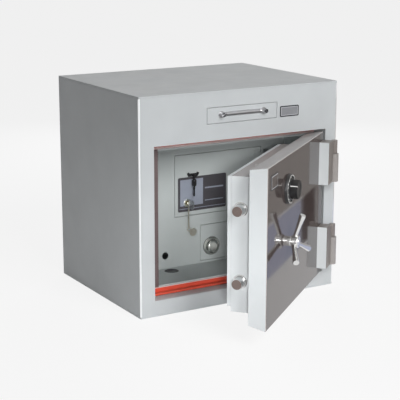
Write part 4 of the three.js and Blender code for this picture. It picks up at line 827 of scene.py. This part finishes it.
@dataclass
class Compartment:
    """The inner box, the plate behind the doorway, the seals and the drawer's sleeve."""

    seal_thick: float = 3.0
    foot_height: float = 5.5
    # Rise of the pale strip that paints a highlight over the sill seal.
    lip: float = 1.5
    lining: float = 3.0
    # Span of the dark strip that paints shade up the doorway's left side.
    channel: Pair = (24.0, 36.3)
    anchor_left: float = 180.0
    anchor_depth: float = 161.0
    anchor_radius: float = 20.0
    # Seat of the black disc that paints shade in the anchor hole.
    plug_seat: float = -1.2

    def build(self) -> None:
        """Builds and dresses the compartment."""
        fine_copies(LINER_PAINT, 0.4, 2, "inner_liner", "front_bulkhead")
        self.sill_seal()
        self.head_seal()
        self.side_channel()
        self.anchor_plug()
        dress(PLAIN_STEEL, "drawer_sleeve")

    def _strip(self, name: str, profile: Sequence[Pair], finish: Finish, replaces: Sequence[str] = ()) -> None:
        """Draws a profile of depth and height along the doorway.

        Args:
            name: the strip's name.
            profile: pairs of Y and Z round the strip's section.
            finish: its finish.
            replaces: the nodes that it stands for.
        """
        along = room_of("seal_bottom")
        form = Form()
        form.bm.faces.new([form.bm.verts.new((along.low.x, y, z)) for y, z in profile])
        form.thicken((along.size.x, 0, 0)).soften(0.9, 3, 60).settle(name, "cabinet", finish, replaces)

    def sill_seal(self) -> None:
        """The lower seal with its foot towards the front, and a pale strip along its upper edge that paints the
        highlight on the seal's top.
        """
        (_, front, low), (_, back, top) = room_of("seal_bottom").low, room_of("seal_bottom").high
        face, foot = back - self.seal_thick, low + self.foot_height
        self._strip("sill_seal_strip", [
            (back, low), (front, low), (front, foot), (face, foot), (face, top), (back, top),
        ], SEAL_ORANGE, ["seal_bottom"])
        under, over, near = top - 0.4, top + self.lip, face + 0.2
        self._strip("sill_seal_highlight", [(back, under), (near, under), (near, over), (back, over)], SEAL_PAINTED_HIGHLIGHT)

    def head_seal(self) -> None:
        """The upper seal, with a pale strip under it that paints a highlight."""
        (_, face, low), (_, back, top) = room_of("seal_top").low, room_of("seal_top").high
        under, over, near = low + 5, low + 5.4, face + 0.3
        self._strip("head_seal_strip", [
            (back, under), (face, under), (face, top), (back, top),
        ], SEAL_ORANGE, ["seal_top"])
        self._strip("head_seal_highlight", [(back, low), (near, low), (near, over), (back, over)], SEAL_PAINTED_HIGHLIGHT)

    def side_channel(self) -> None:
        """A dark strip up the doorway's left side, between the two seals: painted shade along the doorway's edge."""
        below, above = room_of("seal_bottom").high, room_of("seal_top").low
        left = room_of("opening_lining").low.x + self.lining
        near, far = (left + edge for edge in self.channel)
        form = Form().block((near, below.y - 2.4, below.z + 2), (far, below.y + 1.5, above.z - 0.5))
        form.soften(0.6, 3, 60).settle("left_painted_shade_strip", "cabinet", SEAL_PAINTED_SHADE)

    def anchor_plug(self) -> None:
        """A black disc just under the floor in the anchor hole: painted shade that darkens the hole."""
        floor, casing = room_of("inner_liner").low, room_of("front_plate").low
        centre = (casing.x + self.anchor_left, casing.y + self.anchor_depth, floor.z + self.plug_seat)
        r = self.anchor_radius - 0.3
        Form().turned([
            (0, 0), (r, 0), (r, 2.0), (r - 0.8, 2.8), (r - 3, 3.0), (r - 4, 2.4), (0, 2.2),
        ], centre, (0, 0, 1)).settle("anchor_hole_shade_disc", "cabinet", SMALL_BLACK)


@dataclass
class DepositDrawer:
    """The drawer's face, its tubular pull, its tray and gate, and the bare plate beside it."""

    pull_radius: float = 5.5
    pull_bend: float = 14.0
    pull_centres: float = 128.0
    bend_steps: int = 12
    foot_radius: float = 8.5
    foot_thick: float = 1.6
    border: float = 3.0
    plate_radius: float = 3.0

    def build(self) -> None:
        """Builds the drawer's pieces."""
        outer = room_of("drawer_front")
        face = Form().block(outer.low, outer.high).soften(1.1, 4, 60)
        face.settle("drawer_face", "drawer", CASING_PAINT, ["drawer_front"])
        self.pull()
        fine_copies(PLAIN_STEEL, 0.25, 2, "drawer_tray", "tray_gate")
        bare_plate("front_nameplate", self.plate_radius, self.border, PLATE_FIELD)

    def pull(self) -> None:
        """The bent tube, swept as a circle through two quarter turns, with a foot at each end."""
        outer = room_of("drawer_pull")
        half, z, face = self.pull_centres / 2, outer.centre.z, outer.high.y
        out = outer.low.y + self.pull_radius
        form = Form()
        ring = bmesh.ops.create_circle(form.bm, cap_ends=True, segments=24, radius=self.pull_radius)["verts"]
        form.move(Matrix.Translation((-half, face, z)) @ Matrix.Rotation(math.radians(90), 4, "X"), ring)
        form.bm.faces.ensure_lookup_table()
        end = form.bm.faces[0]
        bend, leg = self.pull_bend, out + self.pull_bend - face
        end = self._push(form, end, Vector((0, leg, 0)))
        end = self._bend(form, end, Vector((-half + bend, out + bend, z)))
        end = self._push(form, end, Vector((2 * (half - bend), 0, 0)))
        end = self._bend(form, end, Vector((half - bend, out + bend, z)))
        self._push(form, end, Vector((0, -leg, 0)))
        r, thick = self.foot_radius, self.foot_thick
        for side in (-half, half):
            foot = [(0, 0), (r, 0), (r, thick * 0.6), (r - 0.7, thick), (0, thick)]
            form.turned(foot, (side, face, z), steps=40)
        form.settle("deposit_pull", "drawer", PULL_SATIN, ["drawer_pull"])

    @staticmethod
    def _push(form: Form, end: bmesh.types.BMFace, step: Vector) -> bmesh.types.BMFace:
        """Extrudes the tube's open end straight on.

        Args:
            form: the tube.
            end: its open end.
            step: how far it goes.

        Returns:
            The new end.
        """
        made = bmesh.ops.extrude_discrete_faces(form.bm, faces=[end])["faces"][0]
        bmesh.ops.translate(form.bm, vec=step, verts=made.verts[:])
        return made

    def _bend(self, form: Form, end: bmesh.types.BMFace, centre: Vector) -> bmesh.types.BMFace:
        """Extrudes the tube's open end round a quarter turn.

        Args:
            form: the tube.
            end: its open end.
            centre: the middle of the bend.

        Returns:
            The new end.
        """
        turn = Matrix.Rotation(-math.pi / 2 / self.bend_steps, 3, "Z")
        for _ in range(self.bend_steps):
            end = bmesh.ops.extrude_discrete_faces(form.bm, faces=[end])["faces"][0]
            bmesh.ops.rotate(form.bm, cent=centre, matrix=turn, verts=end.verts[:])
        return end


def bare_plate(node: str, radius: float, border: float, field_finish: Finish, turn: Matrix = STILL) -> None:
    """A name plate left bare: a dark raised border, a pale line inside it and a plain field.

    Args:
        node: the node that it replaces.
        radius: its corner radius.
        border: the border's width.
        field_finish: the field's finish.
        turn: its sub-assembly's turn.
    """
    low, high = room_of(node, turn).low, room_of(node, turn).high
    inner = low.y + 0.5
    for part, finish, inset, behind, back, replaces in (
        ("border", PLATE_BORDER, 0.0, 0.3, high.y, [node]), ("line", PLATE_LINE, border, 0.15, inner, []),
        ("field", field_finish, border + 1.4, 0.0, inner, []),
    ):
        first = (low.x + inset, low.y + behind, low.z + inset)
        last = (high.x - inset, back, high.z - inset)
        form = Form(turn).rounded_plate(first, last, max(radius - inset, 0.5))
        form.settle(f"{node}_{part}", node, finish, replaces)


@dataclass
class InnerPanel:
    """The panel with its two locker doors, their locks, the label and the keys."""

    label_border: float = 3.5
    bar_left: float = 84.0
    ink: float = 0.12
    rose_radius: float = 25.0
    knob_radius: float = 17.0

    def build(self) -> None:
        """Builds every piece on the panel."""
        fine_copies(INNER_PAINT, 0.5, 3, "inner_panel", "upper_locker_door", "lower_locker_door")
        fine_copies(PLAIN_STEEL, 0.3, 2, "upper_locker_hinge", "lower_locker_hinge")
        self.label()
        self.round_lock()
        fine_copies(LOCK_NICKEL, 0.5, 3, "key_lock_body")
        fine_copies(BRASS, 0.3, 2, "key_plug")
        fine_copies(PLAIN_STEEL, 0.35, 2, "locker_key")
        fine_copies(TAG_NICKEL, 0.25, 2, "key_tag")
        fine_copies(SMALL_BLACK, 0.4, 2, "key_hook")
        fine_copies(SMALL_BLACK, 0.35, 2, "spare_key")

    def label(self) -> None:
        """A plain charcoal plate with a silver field, a rule along its foot and two bars."""
        outer = room_of("label_plate")
        fine_copies(LABEL_INK, 0.25, 2, "label_plate")
        edge, bar, far = self.label_border, self.bar_left, outer.size.x - self.label_border
        for name, x0, z0, x1, z1 in (
            ("label_silver_field", edge + 3, 16, 78, outer.size.z - edge - 3), ("label_foot_rule", edge, 7, far, 8.6),
            ("label_upper_bar", bar, 58, far - 6, 62), ("label_lower_bar", bar, 24, far - 6, 26.5),
        ):
            low = outer.low + Vector((x0, -self.ink, z0))
            high = outer.low + Vector((x1, 0.1, z1))
            Form().rounded_plate(low, high, 0.6, 3).settle(name, "label_plate", LABEL_SILVER)

    def round_lock(self) -> None:
        """The round lock: a stepped rose, two dark rings of painted shade at the rose's rim and between rose and knob,
        and a turning knob with a grip bar.
        """
        rose, face = room_of("round_lock_rose"), room_of("round_lock_knob").low.y
        centre = Vector((rose.centre.x, rose.high.y, rose.centre.z))
        thick = rose.size.y
        r, k = self.rose_radius, self.knob_radius
        Form().turned([
            (k + 1, 0), (r, 0), (r, thick * 0.35), (r - 1.2, thick * 0.62), (r - 4, thick * 0.72),
            (r - 5, thick), (k + 1.6, thick), (k + 1, thick * 0.8),
        ], centre, steps=72, ring=True).settle(
            "round_lock_rose_turned", "round_lock_rose", LOCK_NICKEL, ["round_lock_rose"],
        )
        # Two thin black rings paint the shade round the rose's rim and in the gap between rose and knob.
        for name, inner, wide, out in (("outer", r - 0.3, 1.3, 0.9), ("inner", k + 0.6, 1.5, thick + 0.05)):
            Form().turned([
                (inner, 0.05), (inner + wide, 0.05), (inner + wide, out), (inner, out),
            ], centre, steps=72, ring=True).settle(f"round_lock_{name}_ring", "round_lock_rose", SMALL_BLACK)
        fine_copies(LOCK_NICKEL, 0.8, 3, "round_lock_knob")
        half = k - 3
        grip = Form().block((centre.x - 3, face + 0.2, centre.z - half), (centre.x + 3, face + 1.4, centre.z + half))
        grip.soften(0.5, 3).settle("round_lock_grip", "round_lock_knob", LOCK_NICKEL)


@dataclass
class MainDoor:
    """The door's slab and glossy facing, the bolt case with its cover, and the hinge blocks."""

    facing: float = 0.35
    facing_inset: float = 1.8
    plate_radius: float = 2.0
    plate_border: float = 3.4

    def build(self) -> None:
        """Builds the door's own pieces."""
        self.slab()
        # The grey bolt case is the door's pale paint darkened: painted shade.
        fine_copies(DOOR_SHADED_GREY, 0.8, 3, "boltwork_case")
        fine_copies(EDGE_PAINT, 0.8, 3, "door_back_cover")
        # The hinge blocks are the door's pale paint darkened further: painted shade on their fronts.
        fine_copies(HINGE_SHADED_PAINT, 0.6, 3, "hinge_block_upper", "hinge_block_lower")
        # Pale coats paint light on the sides of the slab, the bolt case and the hinge blocks.
        for node in ("door_slab", "boltwork_case", "hinge_block_upper", "hinge_block_lower"):
            side_coat(node, EDGE_PAINT)
        dress(PLAIN_STEEL, "lock_case", "rack_guide")
        bare_plate("door_nameplate", self.plate_radius, self.plate_border, DOOR_PLATE_FIELD, AJAR)

    def slab(self) -> None:
        """The tapered slab, and the lacquered skin over its front."""
        # The grey slab is the door's pale paint darkened: painted shade.
        fine_copies(DOOR_SHADED_GREY, 0.7, 3, "door_slab")
        outer = room_of("door_slab", AJAR)
        inset = Vector((self.facing_inset, 0, self.facing_inset))
        low = outer.low + inset - Vector((0, self.facing, 0))
        high = Vector((outer.high.x, outer.low.y + 0.2, outer.high.z)) - inset
        Form(AJAR).block(low, high).soften(0.25, 2).settle("door_facing", "main_door", DOOR_LACQUER)


@dataclass
class BoltWork:
    """The locking bolts with their collars, the carrier with its rack, and the fixed dog bolts."""

    sleeve_wall: float = 2.5
    sleeve_rim: float = 2.85
    sleeve_clearance: float = 0.35
    nose: float = 1.6
    spigot_radius: float = 6.0
    spigot_length: float = 17.0

    def build(self) -> None:
        """Builds the bolts, their collars and what drives them."""
        for place in ("upper", "lower"):
            self.bolt(f"bolt_{place}")
            self.collar(f"bolt_sleeve_{place}")
            fine_copies(PLAIN_STEEL, 0.3, 2, f"dog_bolt_{place}")
        dress(PLAIN_STEEL, "bolt_carrier", "drive_pinion", "handle_spindle")
        dress(BRASS, "lock_bolt", "drive_cam")

    def bolt(self, node: str) -> None:
        """A turned bolt with a chamfered nose, a dark end cap and a spigot."""
        outer = room_of(node, AJAR)
        r, length, spigot, nose = outer.size.y / 2, outer.size.x, self.spigot_radius, self.nose
        start = (outer.low.x, outer.centre.y, outer.centre.z)
        shoulder = length - self.spigot_length
        Form(AJAR).turned([
            (0, 0.8), (r - nose - 0.2, 0.8), (r - 0.4, nose * 0.55), (r, nose * 1.3), (r, shoulder),
            (spigot, shoulder), (spigot, length), (0, length),
        ], start, (1, 0, 0), 72).settle(f"{node}_turned", node, BOLT_STEEL, [node])
        Form(AJAR).turned([
            (0, 0.4), (2.2, 0.4), (2.6, 0), (r - nose, 0), (r - 0.9, 0.35), (r - 0.9, 1.2), (0, 1.2),
        ], start, (1, 0, 0), 72).settle(f"{node}_end", node, BOLT_END)

    def collar(self, node: str) -> None:
        """A bright collar with a rolled rim round the bolt."""
        outer = room_of(node, AJAR)
        bore = room_of("bolt_upper", AJAR).size.y / 2 + self.sleeve_clearance
        flange, long = outer.size.z / 2, outer.size.x
        barrel, rim = bore + self.sleeve_wall, self.sleeve_rim
        Form(AJAR).turned([
            (bore, 0.8), (bore + 0.6, 0.15), (barrel, 0), (flange - 1.6, 0.25), (flange - 0.5, 0.9), (flange, 1.9),
            (flange, rim), (barrel, rim), (barrel, long), (bore, long),
        ], (outer.low.x, outer.centre.y, outer.centre.z), (1, 0, 0), 72, True).settle(
            f"{node}_turned", node, CHROME, [node],
        )


@dataclass
class DoorHandle:
    """The three-armed handle on its escutcheon."""

    hub_radius: float = 15.5
    hub_back: float = 11.3
    hub_front: float = 29.3
    arm_reach: float = 69.0
    arm_dish: float = 18.0
    root_radius: float = 5.5
    end_radius: float = 8.0
    spindle_bore: float = 8.4
    lean: float = 2.5
    arms: int = 3

    def build(self) -> None:
        """Builds the hub, the arms and the escutcheon."""
        hub = room_of("handle_hub", AJAR)
        self.centre = Vector((hub.centre.x, room_of("door_slab", AJAR).low.y, hub.centre.z))
        self.escutcheon()
        self.hub()
        for number in range(self.arms):
            self.arm(number)

    def escutcheon(self) -> None:
        """The round boss that the hub turns on."""
        r, out, bore = room_of("handle_escutcheon", AJAR).size.x / 2, self.hub_back - 0.3, self.spindle_bore
        Form(AJAR).turned([
            (bore, 0.3), (r, 0.3), (r, out - 2.4), (r - 0.6, out - 0.8), (r - 2, out), (bore, out),
        ], self.centre, ring=True).settle(
            "handle_escutcheon_turned", "main_door", CHROME, ["handle_escutcheon"],
        )

    def hub(self) -> None:
        """A drum with rounded rims, a shallow ring groove and a low dome."""
        r, b, f = self.hub_radius, self.hub_back, self.hub_front
        Form(AJAR).turned([
            (0, b), (r - 1.4, b), (r - 0.4, b + 0.4), (r, b + 1.4), (r, f - 3), (r - 0.5, f - 1.4), (r - 1.6, f - 0.4),
            (r - 3, f), (r - 6, f + 0.15), (r - 6.4, f - 0.35), (r - 7.4, f - 0.35), (r - 7.8, f + 0.4),
            (r - 11, f + 1.3), (3, f + 1.9), (0, f + 2),
        ], self.centre, steps=80).settle("handle_hub_turned", "door_handle", CHROME, ["handle_hub"])

    def arm(self, number: int) -> None:
        """An arm that swells from its root to a flat, eased end."""
        turn = math.radians(90 + self.lean + number * 360 / self.arms)
        outward = Vector((math.cos(turn), 0, math.sin(turn)))
        root_out = (self.hub_back + self.hub_front) / 2
        start = self.centre + outward * self.hub_radius + Vector((0, -root_out, 0))
        along = outward * (self.arm_reach - self.hub_radius) + Vector((0, -self.arm_dish, 0))
        length, root, end = along.length, self.root_radius, self.end_radius
        name = f"handle_arm_{number + 1}"
        Form(AJAR).turned([
            (0, -5), (root, -5), (root, length * 0.3), (root + 0.25, length * 0.4), (end - 0.3, length * 0.86),
            (end, length - 3), (end, length - 1.6), (end - 0.35, length - 0.6), (end - 1.2, length - 0.1),
            (end - 1.8, length), (0, length),
        ], start, along, 56).settle(f"{name}_turned", "door_handle", CHROME, [name])


@dataclass
class CombinationDial:
    """The graduated dial in its ring, with plain numbers and a fluted knob."""

    ring_radius: float = 37.0
    ring_depth: float = 8.0
    skirt_radius: float = 31.0
    skirt_back: float = 2.6
    skirt_front: float = 9.6
    knob_radius: float = 23.0
    knob_front: float = 27.6
    spindle_radius: float = 4.0
    marks: int = 100
    flutes: int = 48
    flute_depth: float = 1.1
    number_height: float = 4.2
    index_angle: float = 150.0
    ink: float = 0.12

    def build(self) -> None:
        """Builds the ring, the dial and its markings."""
        ring = room_of("dial_ring", AJAR)
        self.centre = Vector((ring.centre.x, room_of("door_slab", AJAR).low.y, ring.centre.z))
        turn = Matrix.Rotation(math.radians(90 - self.index_angle), 4, "Y")
        self.at_index = Matrix.Translation(self.centre) @ turn
        self.ring()
        self.dial()
        self.graduations()
        self.numbers()

    def ring(self) -> None:
        """The fixed ring with a white line round its rim, and the index mark."""
        r, d, bore = self.ring_radius, self.ring_depth, self.skirt_radius + 0.8
        form = Form(AJAR).turned([
            (bore, 0.3), (r, 0.3), (r, 1.6), (r - 0.5, 4), (r - 1.6, d - 0.8), (r - 2.6, d), (bore + 0.5, d),
            (bore, d - 0.5),
        ], self.centre, steps=96, ring=True)
        form.turned([(0, 0.4), (bore, 0.4), (bore, 1.6), (0, 1.6)], self.centre)
        form.settle("dial_ring_turned", "main_door", DIAL_BLACK, ["dial_ring"])
        inner, raised = bore + 0.9, d + self.ink
        Form(AJAR).turned([
            (r - 3.0, d - 0.2), (r - 2.5, raised), (inner, raised), (inner, d - 0.2),
        ], self.centre, steps=96, ring=True).settle("dial_ring_line", "main_door", DIAL_WHITE)
        nib = Form(AJAR).block((-1.4, -d - 0.9, bore + 0.2), (1.4, -d + 0.4, r - 0.4)).soften(0.3, 2)
        nib.move(self.at_index).settle("dial_index_mark", "main_door", DIAL_WHITE)

    def dial(self) -> None:
        """The sloping skirt, the knob with its flutes and recessed face, and the spindle."""
        s, back, skirt, k, f = self.skirt_radius, self.skirt_back, self.skirt_front, self.knob_radius, self.knob_front
        reach = room_of("combination_dial", AJAR).high.y - self.centre.y
        form = Form(AJAR).turned([
            (0, back), (s - 0.4, back), (s, back + 0.4), (s, back + 1.6), (s - 0.6, back + 2.4),
            (k + 2.4, skirt - 0.3), (k + 1.6, skirt), (0, skirt),
        ], self.centre, steps=96)
        form.rod(self.centre + Vector((0, -back, 0)), self.centre + Vector((0, reach, 0)), self.spindle_radius)
        form.settle("dial_skirt_turned", "dial", DIAL_BLACK, ["combination_dial"])
        knob = Form(AJAR).turned([
            (0, skirt - 0.5), (k, skirt - 0.5), (k, f - 1.4), (k - 0.5, f - 0.4), (k - 1.6, f),
            (k - 5, f), (k - 5.6, f - 1.1), (k - 8, f - 1.3), (0, f - 1.5),
        ], self.centre, steps=2 * self.flutes)
        self._flute(knob)
        knob.settle("dial_knob", "dial", DIAL_BLACK, angle=50.0)

    def _flute(self, knob: Form) -> None:
        """Pulls every second line of the knob's rim in, so that it grips."""
        for vert in knob.bm.verts:
            across = Vector((vert.co.x - self.centre.x, 0, vert.co.z - self.centre.z))
            out = self.centre.y - vert.co.y
            if across.length < self.knob_radius - 0.2 or out > self.knob_front - 1.2:
                continue
            step = round(math.degrees(math.atan2(across.z, across.x)) / (180 / self.flutes))
            if step % 2:
                vert.co -= across.normalized() * self.flute_depth

    def _slope(self, share: float) -> Pair:
        """Gives the radius and the distance out of a place across the skirt's sloping face."""
        foot, top = self.skirt_radius - 0.6, self.knob_radius + 2.4
        low, high = self.skirt_back + 2.4, self.skirt_front - 0.3
        return foot + (top - foot) * share, low + (high - low) * share

    def _on_slope(self, share: float, degrees: float) -> Matrix:
        """Gives the place of a mark on the sloping face, its X round the dial and its Y outwards.

        Args:
            share: how far up the slope it lies, from 0 to 1.
            degrees: how far round the dial.

        Returns:
            The mark's place.
        """
        radius, out = self._slope(share)
        (r0, o0), (r1, o1) = self._slope(0), self._slope(1)
        tilt = math.atan2(o1 - o0, r0 - r1)
        stand = Matrix.Rotation(math.radians(90), 4, "X") @ Matrix.Rotation(-tilt, 4, "X")
        turn = Matrix.Rotation(math.radians(degrees), 4, "Y")
        return Matrix.Translation(self.centre) @ turn @ Matrix.Translation((0, -out, radius)) @ stand

    def graduations(self) -> None:
        """White lines round the skirt, longer at every fifth and tenth."""
        form = Form(AJAR)
        outwards = Matrix.Scale(-1, 4, (0, 1, 0))
        for mark in range(self.marks):
            long = 3.4 if mark % 10 == 0 else 2.6 if mark % 5 == 0 else 1.7
            wide = 0.34 if mark % 5 else 0.5
            line = form.cube((-wide / 2, 0, -0.1), (wide / 2, -long, self.ink))
            form.move(self._on_slope(0.02, mark * 360 / self.marks) @ outwards, line)
        form.settle("dial_graduations", "dial", DIAL_WHITE)

    def numbers(self) -> None:
        """Plain numbers from 0 to 90, and the white line on the knob."""
        form = Form(AJAR)
        for mark in range(0, self.marks, 10):
            self._number(form, str(mark), self._on_slope(0.5, mark * 360 / self.marks))
        form.settle("dial_numbers", "dial", DIAL_WHITE)
        k, f, half = self.knob_radius, self.knob_front, 1.1
        line = Form(AJAR).block((-half, -f - 0.25, k - 5.2), (half, -f + 0.6, k - 0.5))
        line.block((-half, -f - 0.1, k - 1.2), (half, -self.skirt_front - 0.4, k + 0.25)).soften(0.15, 1)
        line.move(self.at_index).settle("dial_knob_line", "dial", DIAL_WHITE)

    def _number(self, form: Form, text: str, place: Matrix) -> None:
        """Adds one number as a thin raised shape.

        Args:
            form: the form that it joins.
            text: its digits.
            place: where it stands.
        """
        curve = bpy.data.curves.new("number", "FONT")
        curve.body, curve.size, curve.extrude = text, self.number_height, self.ink
        curve.align_x, curve.align_y = "CENTER", "CENTER"
        curve.resolution_u = 3
        holder = put("number", curve)
        bpy.context.view_layer.update()
        mesh = bpy.data.meshes.new_from_object(holder)
        form.join(mesh, place)
        bpy.data.objects.remove(holder)
        bpy.data.curves.remove(curve)
        bpy.data.meshes.remove(mesh)


@dataclass
class Studio:
    """The camera at the photograph's angle, soft lamps, cards for the lacquer, a pale floor and world."""

    lens: float = 106.47
    sensor: float = 36.0
    picture: float = 400.0
    yaw: float = 30.718
    pitch: float = 13.336
    roll: float = 0.054
    place: tuple[float, float, float] = (-1.6215, -2.7509, 0.9837)
    fill_place: tuple[float, float, float] = (-1.45, -2.75, 0.72)
    fill_aim: tuple[float, float, float] = (-0.08, -0.32, 0.16)
    fill_cone: float = 13.0
    fill_radius: float = 0.25
    fill_share: float = 0.74
    cards: tuple = (
        ("upper_card", (0.40, 0.38, 0.36), 0.42, (
            (240, 150), (262, 118), (345, 60), (345, 178), (301, 197), (255, 236),
        )),
        ("dark_card", (0.04, 0.03, 0.03), 0.36, ((301, 199), (315, 186), (315, 232), (301, 245))),
        ("blue_card", (0.50, 0.54, 0.70), 0.34, ((255, 238), (300.6, 199), (300.6, 246), (255, 292))),
        ("right_card", (0.34, 0.32, 0.31), 0.38, ((315.5, 186), (345, 178), (345, 235), (315.5, 232))),
    )
    ambient: float = 0.08
    shine: float = 0.7
    floor_size: float = 40.0
    floor_glow: float = 0.86

    def build(self) -> None:
        """Sets up the camera, the lamps, the world and the floor."""
        bpy.context.scene.view_settings.view_transform = "Standard"
        self.camera()
        self.lamp("key_softbox", 0.0, 32.0, 3.4, 1.6, 0.68)
        self.lamp("back_softbox", 150.0, 20.0, 2.6, 1.4, 0.26, mirrored=False)
        self.doorway_lamp()
        for card in self.cards:
            self.card(*card)
        self.world()
        self.floor()

    def camera(self) -> None:
        """Makes the camera."""
        turn, tilt = math.radians(self.yaw), math.radians(self.pitch)
        ahead = Vector((math.sin(turn) * math.cos(tilt), math.cos(turn) * math.cos(tilt), -math.sin(tilt)))
        right = Vector((math.cos(turn), -math.sin(turn), 0.0))
        up = right.cross(ahead)
        lean = math.radians(self.roll)
        right, up = right * math.cos(lean) + up * math.sin(lean), up * math.cos(lean) - right * math.sin(lean)
        axes = Matrix((right, up, -ahead)).transposed().to_4x4()
        data = bpy.data.cameras.new("camera")
        data.lens, data.sensor_width = self.lens, self.sensor
        bpy.context.scene.camera = put("camera", data, Matrix.Translation(self.place) @ axes)

    def lamp(
        self, name: str, azimuth: float, height: float, distance: float, size: float, share: float,
        mirrored: bool = True,
    ) -> None:
        """Adds a soft square lamp that faces the safe.

        Args:
            name: the lamp's name.
            azimuth: degrees from the front, positive to the right.
            height: degrees above the floor.
            distance: metres from the safe's middle.
            size: side of the lamp in metres.
            share: how much of full light it gives a face turned to it.
            mirrored: whether shiny surfaces show it.
        """
        light = bpy.data.lights.new(name, "AREA")
        light.shape, light.size = "SQUARE", size
        light.energy = share * math.pi ** 2 * distance ** 2
        turn, rise = math.radians(azimuth), math.radians(height)
        towards = Vector((math.sin(turn) * math.cos(rise), -math.cos(turn) * math.cos(rise), math.sin(rise)))
        middle = (CAD_BOX[0] + CAD_BOX[1]) / 2
        put(name, light, self._facing(middle + towards * distance, towards)).visible_glossy = mirrored

    @staticmethod
    def _facing(spot: Vector, towards: Vector) -> Matrix:
        """Gives the place of a lamp that shines against a direction."""
        return Matrix.Translation(spot) @ towards.to_track_quat("Z", "Y").to_matrix().to_4x4()

    def doorway_lamp(self) -> None:
        """Adds a soft round lamp beside the camera, which fills the open doorway."""
        light = bpy.data.lights.new("doorway_fill", "SPOT")
        light.spot_size, light.spot_blend = math.radians(self.fill_cone), 1.0
        light.shadow_soft_size = self.fill_radius
        towards = Vector(self.fill_place) - Vector(self.fill_aim)
        light.energy = self.fill_share * 4 * math.pi ** 2 * towards.length_squared
        put("doorway_fill", light, self._facing(Vector(self.fill_place), towards))

    def mirrored_place(self, across: float, down: float, distance: float) -> Vector:
        """Finds the place that the door's lacquer mirrors at a point of the picture.

        Args:
            across, down: the point, in the picture's pixels.
            distance: metres from the lacquer to the place.

        Returns:
            The place.
        """
        camera = bpy.context.scene.camera.matrix_world
        focal, middle = self.lens / self.sensor * self.picture, self.picture / 2
        ray = (camera.to_3x3() @ Vector(((across - middle) / focal, (middle - down) / focal, -1))).normalized()
        front = AJAR @ room_of("door_slab", AJAR).low * MM
        normal = (AJAR.to_3x3() @ Vector((0, -1, 0))).normalized()
        hit = camera.translation + ray * ((front - camera.translation).dot(normal) / ray.dot(normal))
        return hit + (ray - 2 * ray.dot(normal) * normal) * distance

    @staticmethod
    def staged(name: str, form: bmesh.types.BMesh, wire: Callable[[Graph], bpy.types.Node]) -> bpy.types.Object:
        """Adds a piece of the studio.

        Args:
            name: its name.
            form: its shape, in metres.
            wire: builds its shader and returns the last node.

        Returns:
            The piece.
        """
        mesh = bpy.data.meshes.new(name)
        form.to_mesh(mesh)
        form.free()
        material = bpy.data.materials.new(name)
        material.use_nodes = True
        graph = Graph(material.node_tree)
        graph.add("OutputMaterial", {0: wire(graph).outputs[0]})
        mesh.materials.append(material)
        return put(name, mesh)

    def card(self, name: str, colour: tuple[float, float, float], distance: float, corners: Sequence[Pair]) -> None:
        """Adds a flat card that only shiny surfaces show.

        Args:
            name: its name.
            colour: how bright it is, as red, green and blue.
            distance: metres from the lacquer.
            corners: the points of the picture at which the lacquer mirrors its corners.
        """
        form = bmesh.new()
        form.faces.new([form.verts.new(self.mirrored_place(*corner, distance)) for corner in corners])
        card = self.staged(name, form, lambda graph: graph.add("Emission", {"Color": (*colour, 1.0), "Strength": 1.0}))
        for kind in ("camera", "diffuse", "shadow", "transmission", "volume_scatter"):
            setattr(card, f"visible_{kind}", False)

    def world(self) -> None:
        """A dim even light, seen as white by the camera and as pale grey by shiny surfaces."""
        world = bpy.data.worlds.new("studio")
        bpy.context.scene.world = world
        world.use_nodes = True
        graph = Graph(world.node_tree)
        dim, grey, white = (
            graph.add("Background", {"Color": WHITE, "Strength": strength}).outputs[0]
            for strength in (self.ambient, self.shine, 1.0)
        )
        rays = graph.add("LightPath").outputs
        shiny = graph.math("MAXIMUM", rays["Is Glossy Ray"], rays["Is Transmission Ray"])
        both = graph.add("MixShader", {0: shiny, 1: dim, 2: grey}).outputs[0]
        seen = graph.add("MixShader", {0: rays["Is Camera Ray"], 1: both, 2: white})
        graph.add("OutputWorld", {0: seen.outputs[0]})

    def floor(self) -> None:
        """A pale floor that keeps the safe's shadow."""
        form = bmesh.new()
        bmesh.ops.create_grid(form, x_segments=1, y_segments=1, size=self.floor_size / 2)
        self.staged("studio_floor", form, self._floor_shader)

    def _floor_shader(self, graph: Graph) -> bpy.types.Node:
        """Mixes the matt floor with the glow that the camera and shiny surfaces see."""
        matt = graph.add("BsdfDiffuse", {"Color": screen(240, 240, 240)}).outputs[0]
        glow = graph.add("Emission", {"Color": WHITE, "Strength": 1.0}).outputs[0]
        rays = graph.add("LightPath").outputs
        seen = graph.math("MAXIMUM", rays["Is Camera Ray"], rays["Is Glossy Ray"])
        return graph.add("MixShader", {0: graph.math("MULTIPLY", seen, self.floor_glow), 1: matt, 2: glow})


def main() -> None:
    """Builds the safe's sub-assemblies and the studio."""
    logging.basicConfig(level=logging.INFO, format="%(name)s: %(message)s")
    for part in (
        Casing(), Compartment(), DepositDrawer(), InnerPanel(), MainDoor(), BoltWork(), DoorHandle(),
        CombinationDial(), Studio(),
    ):
        LOG.info("building %s", type(part).__name__)
        part.build()


if __name__ == "__main__":
    main()
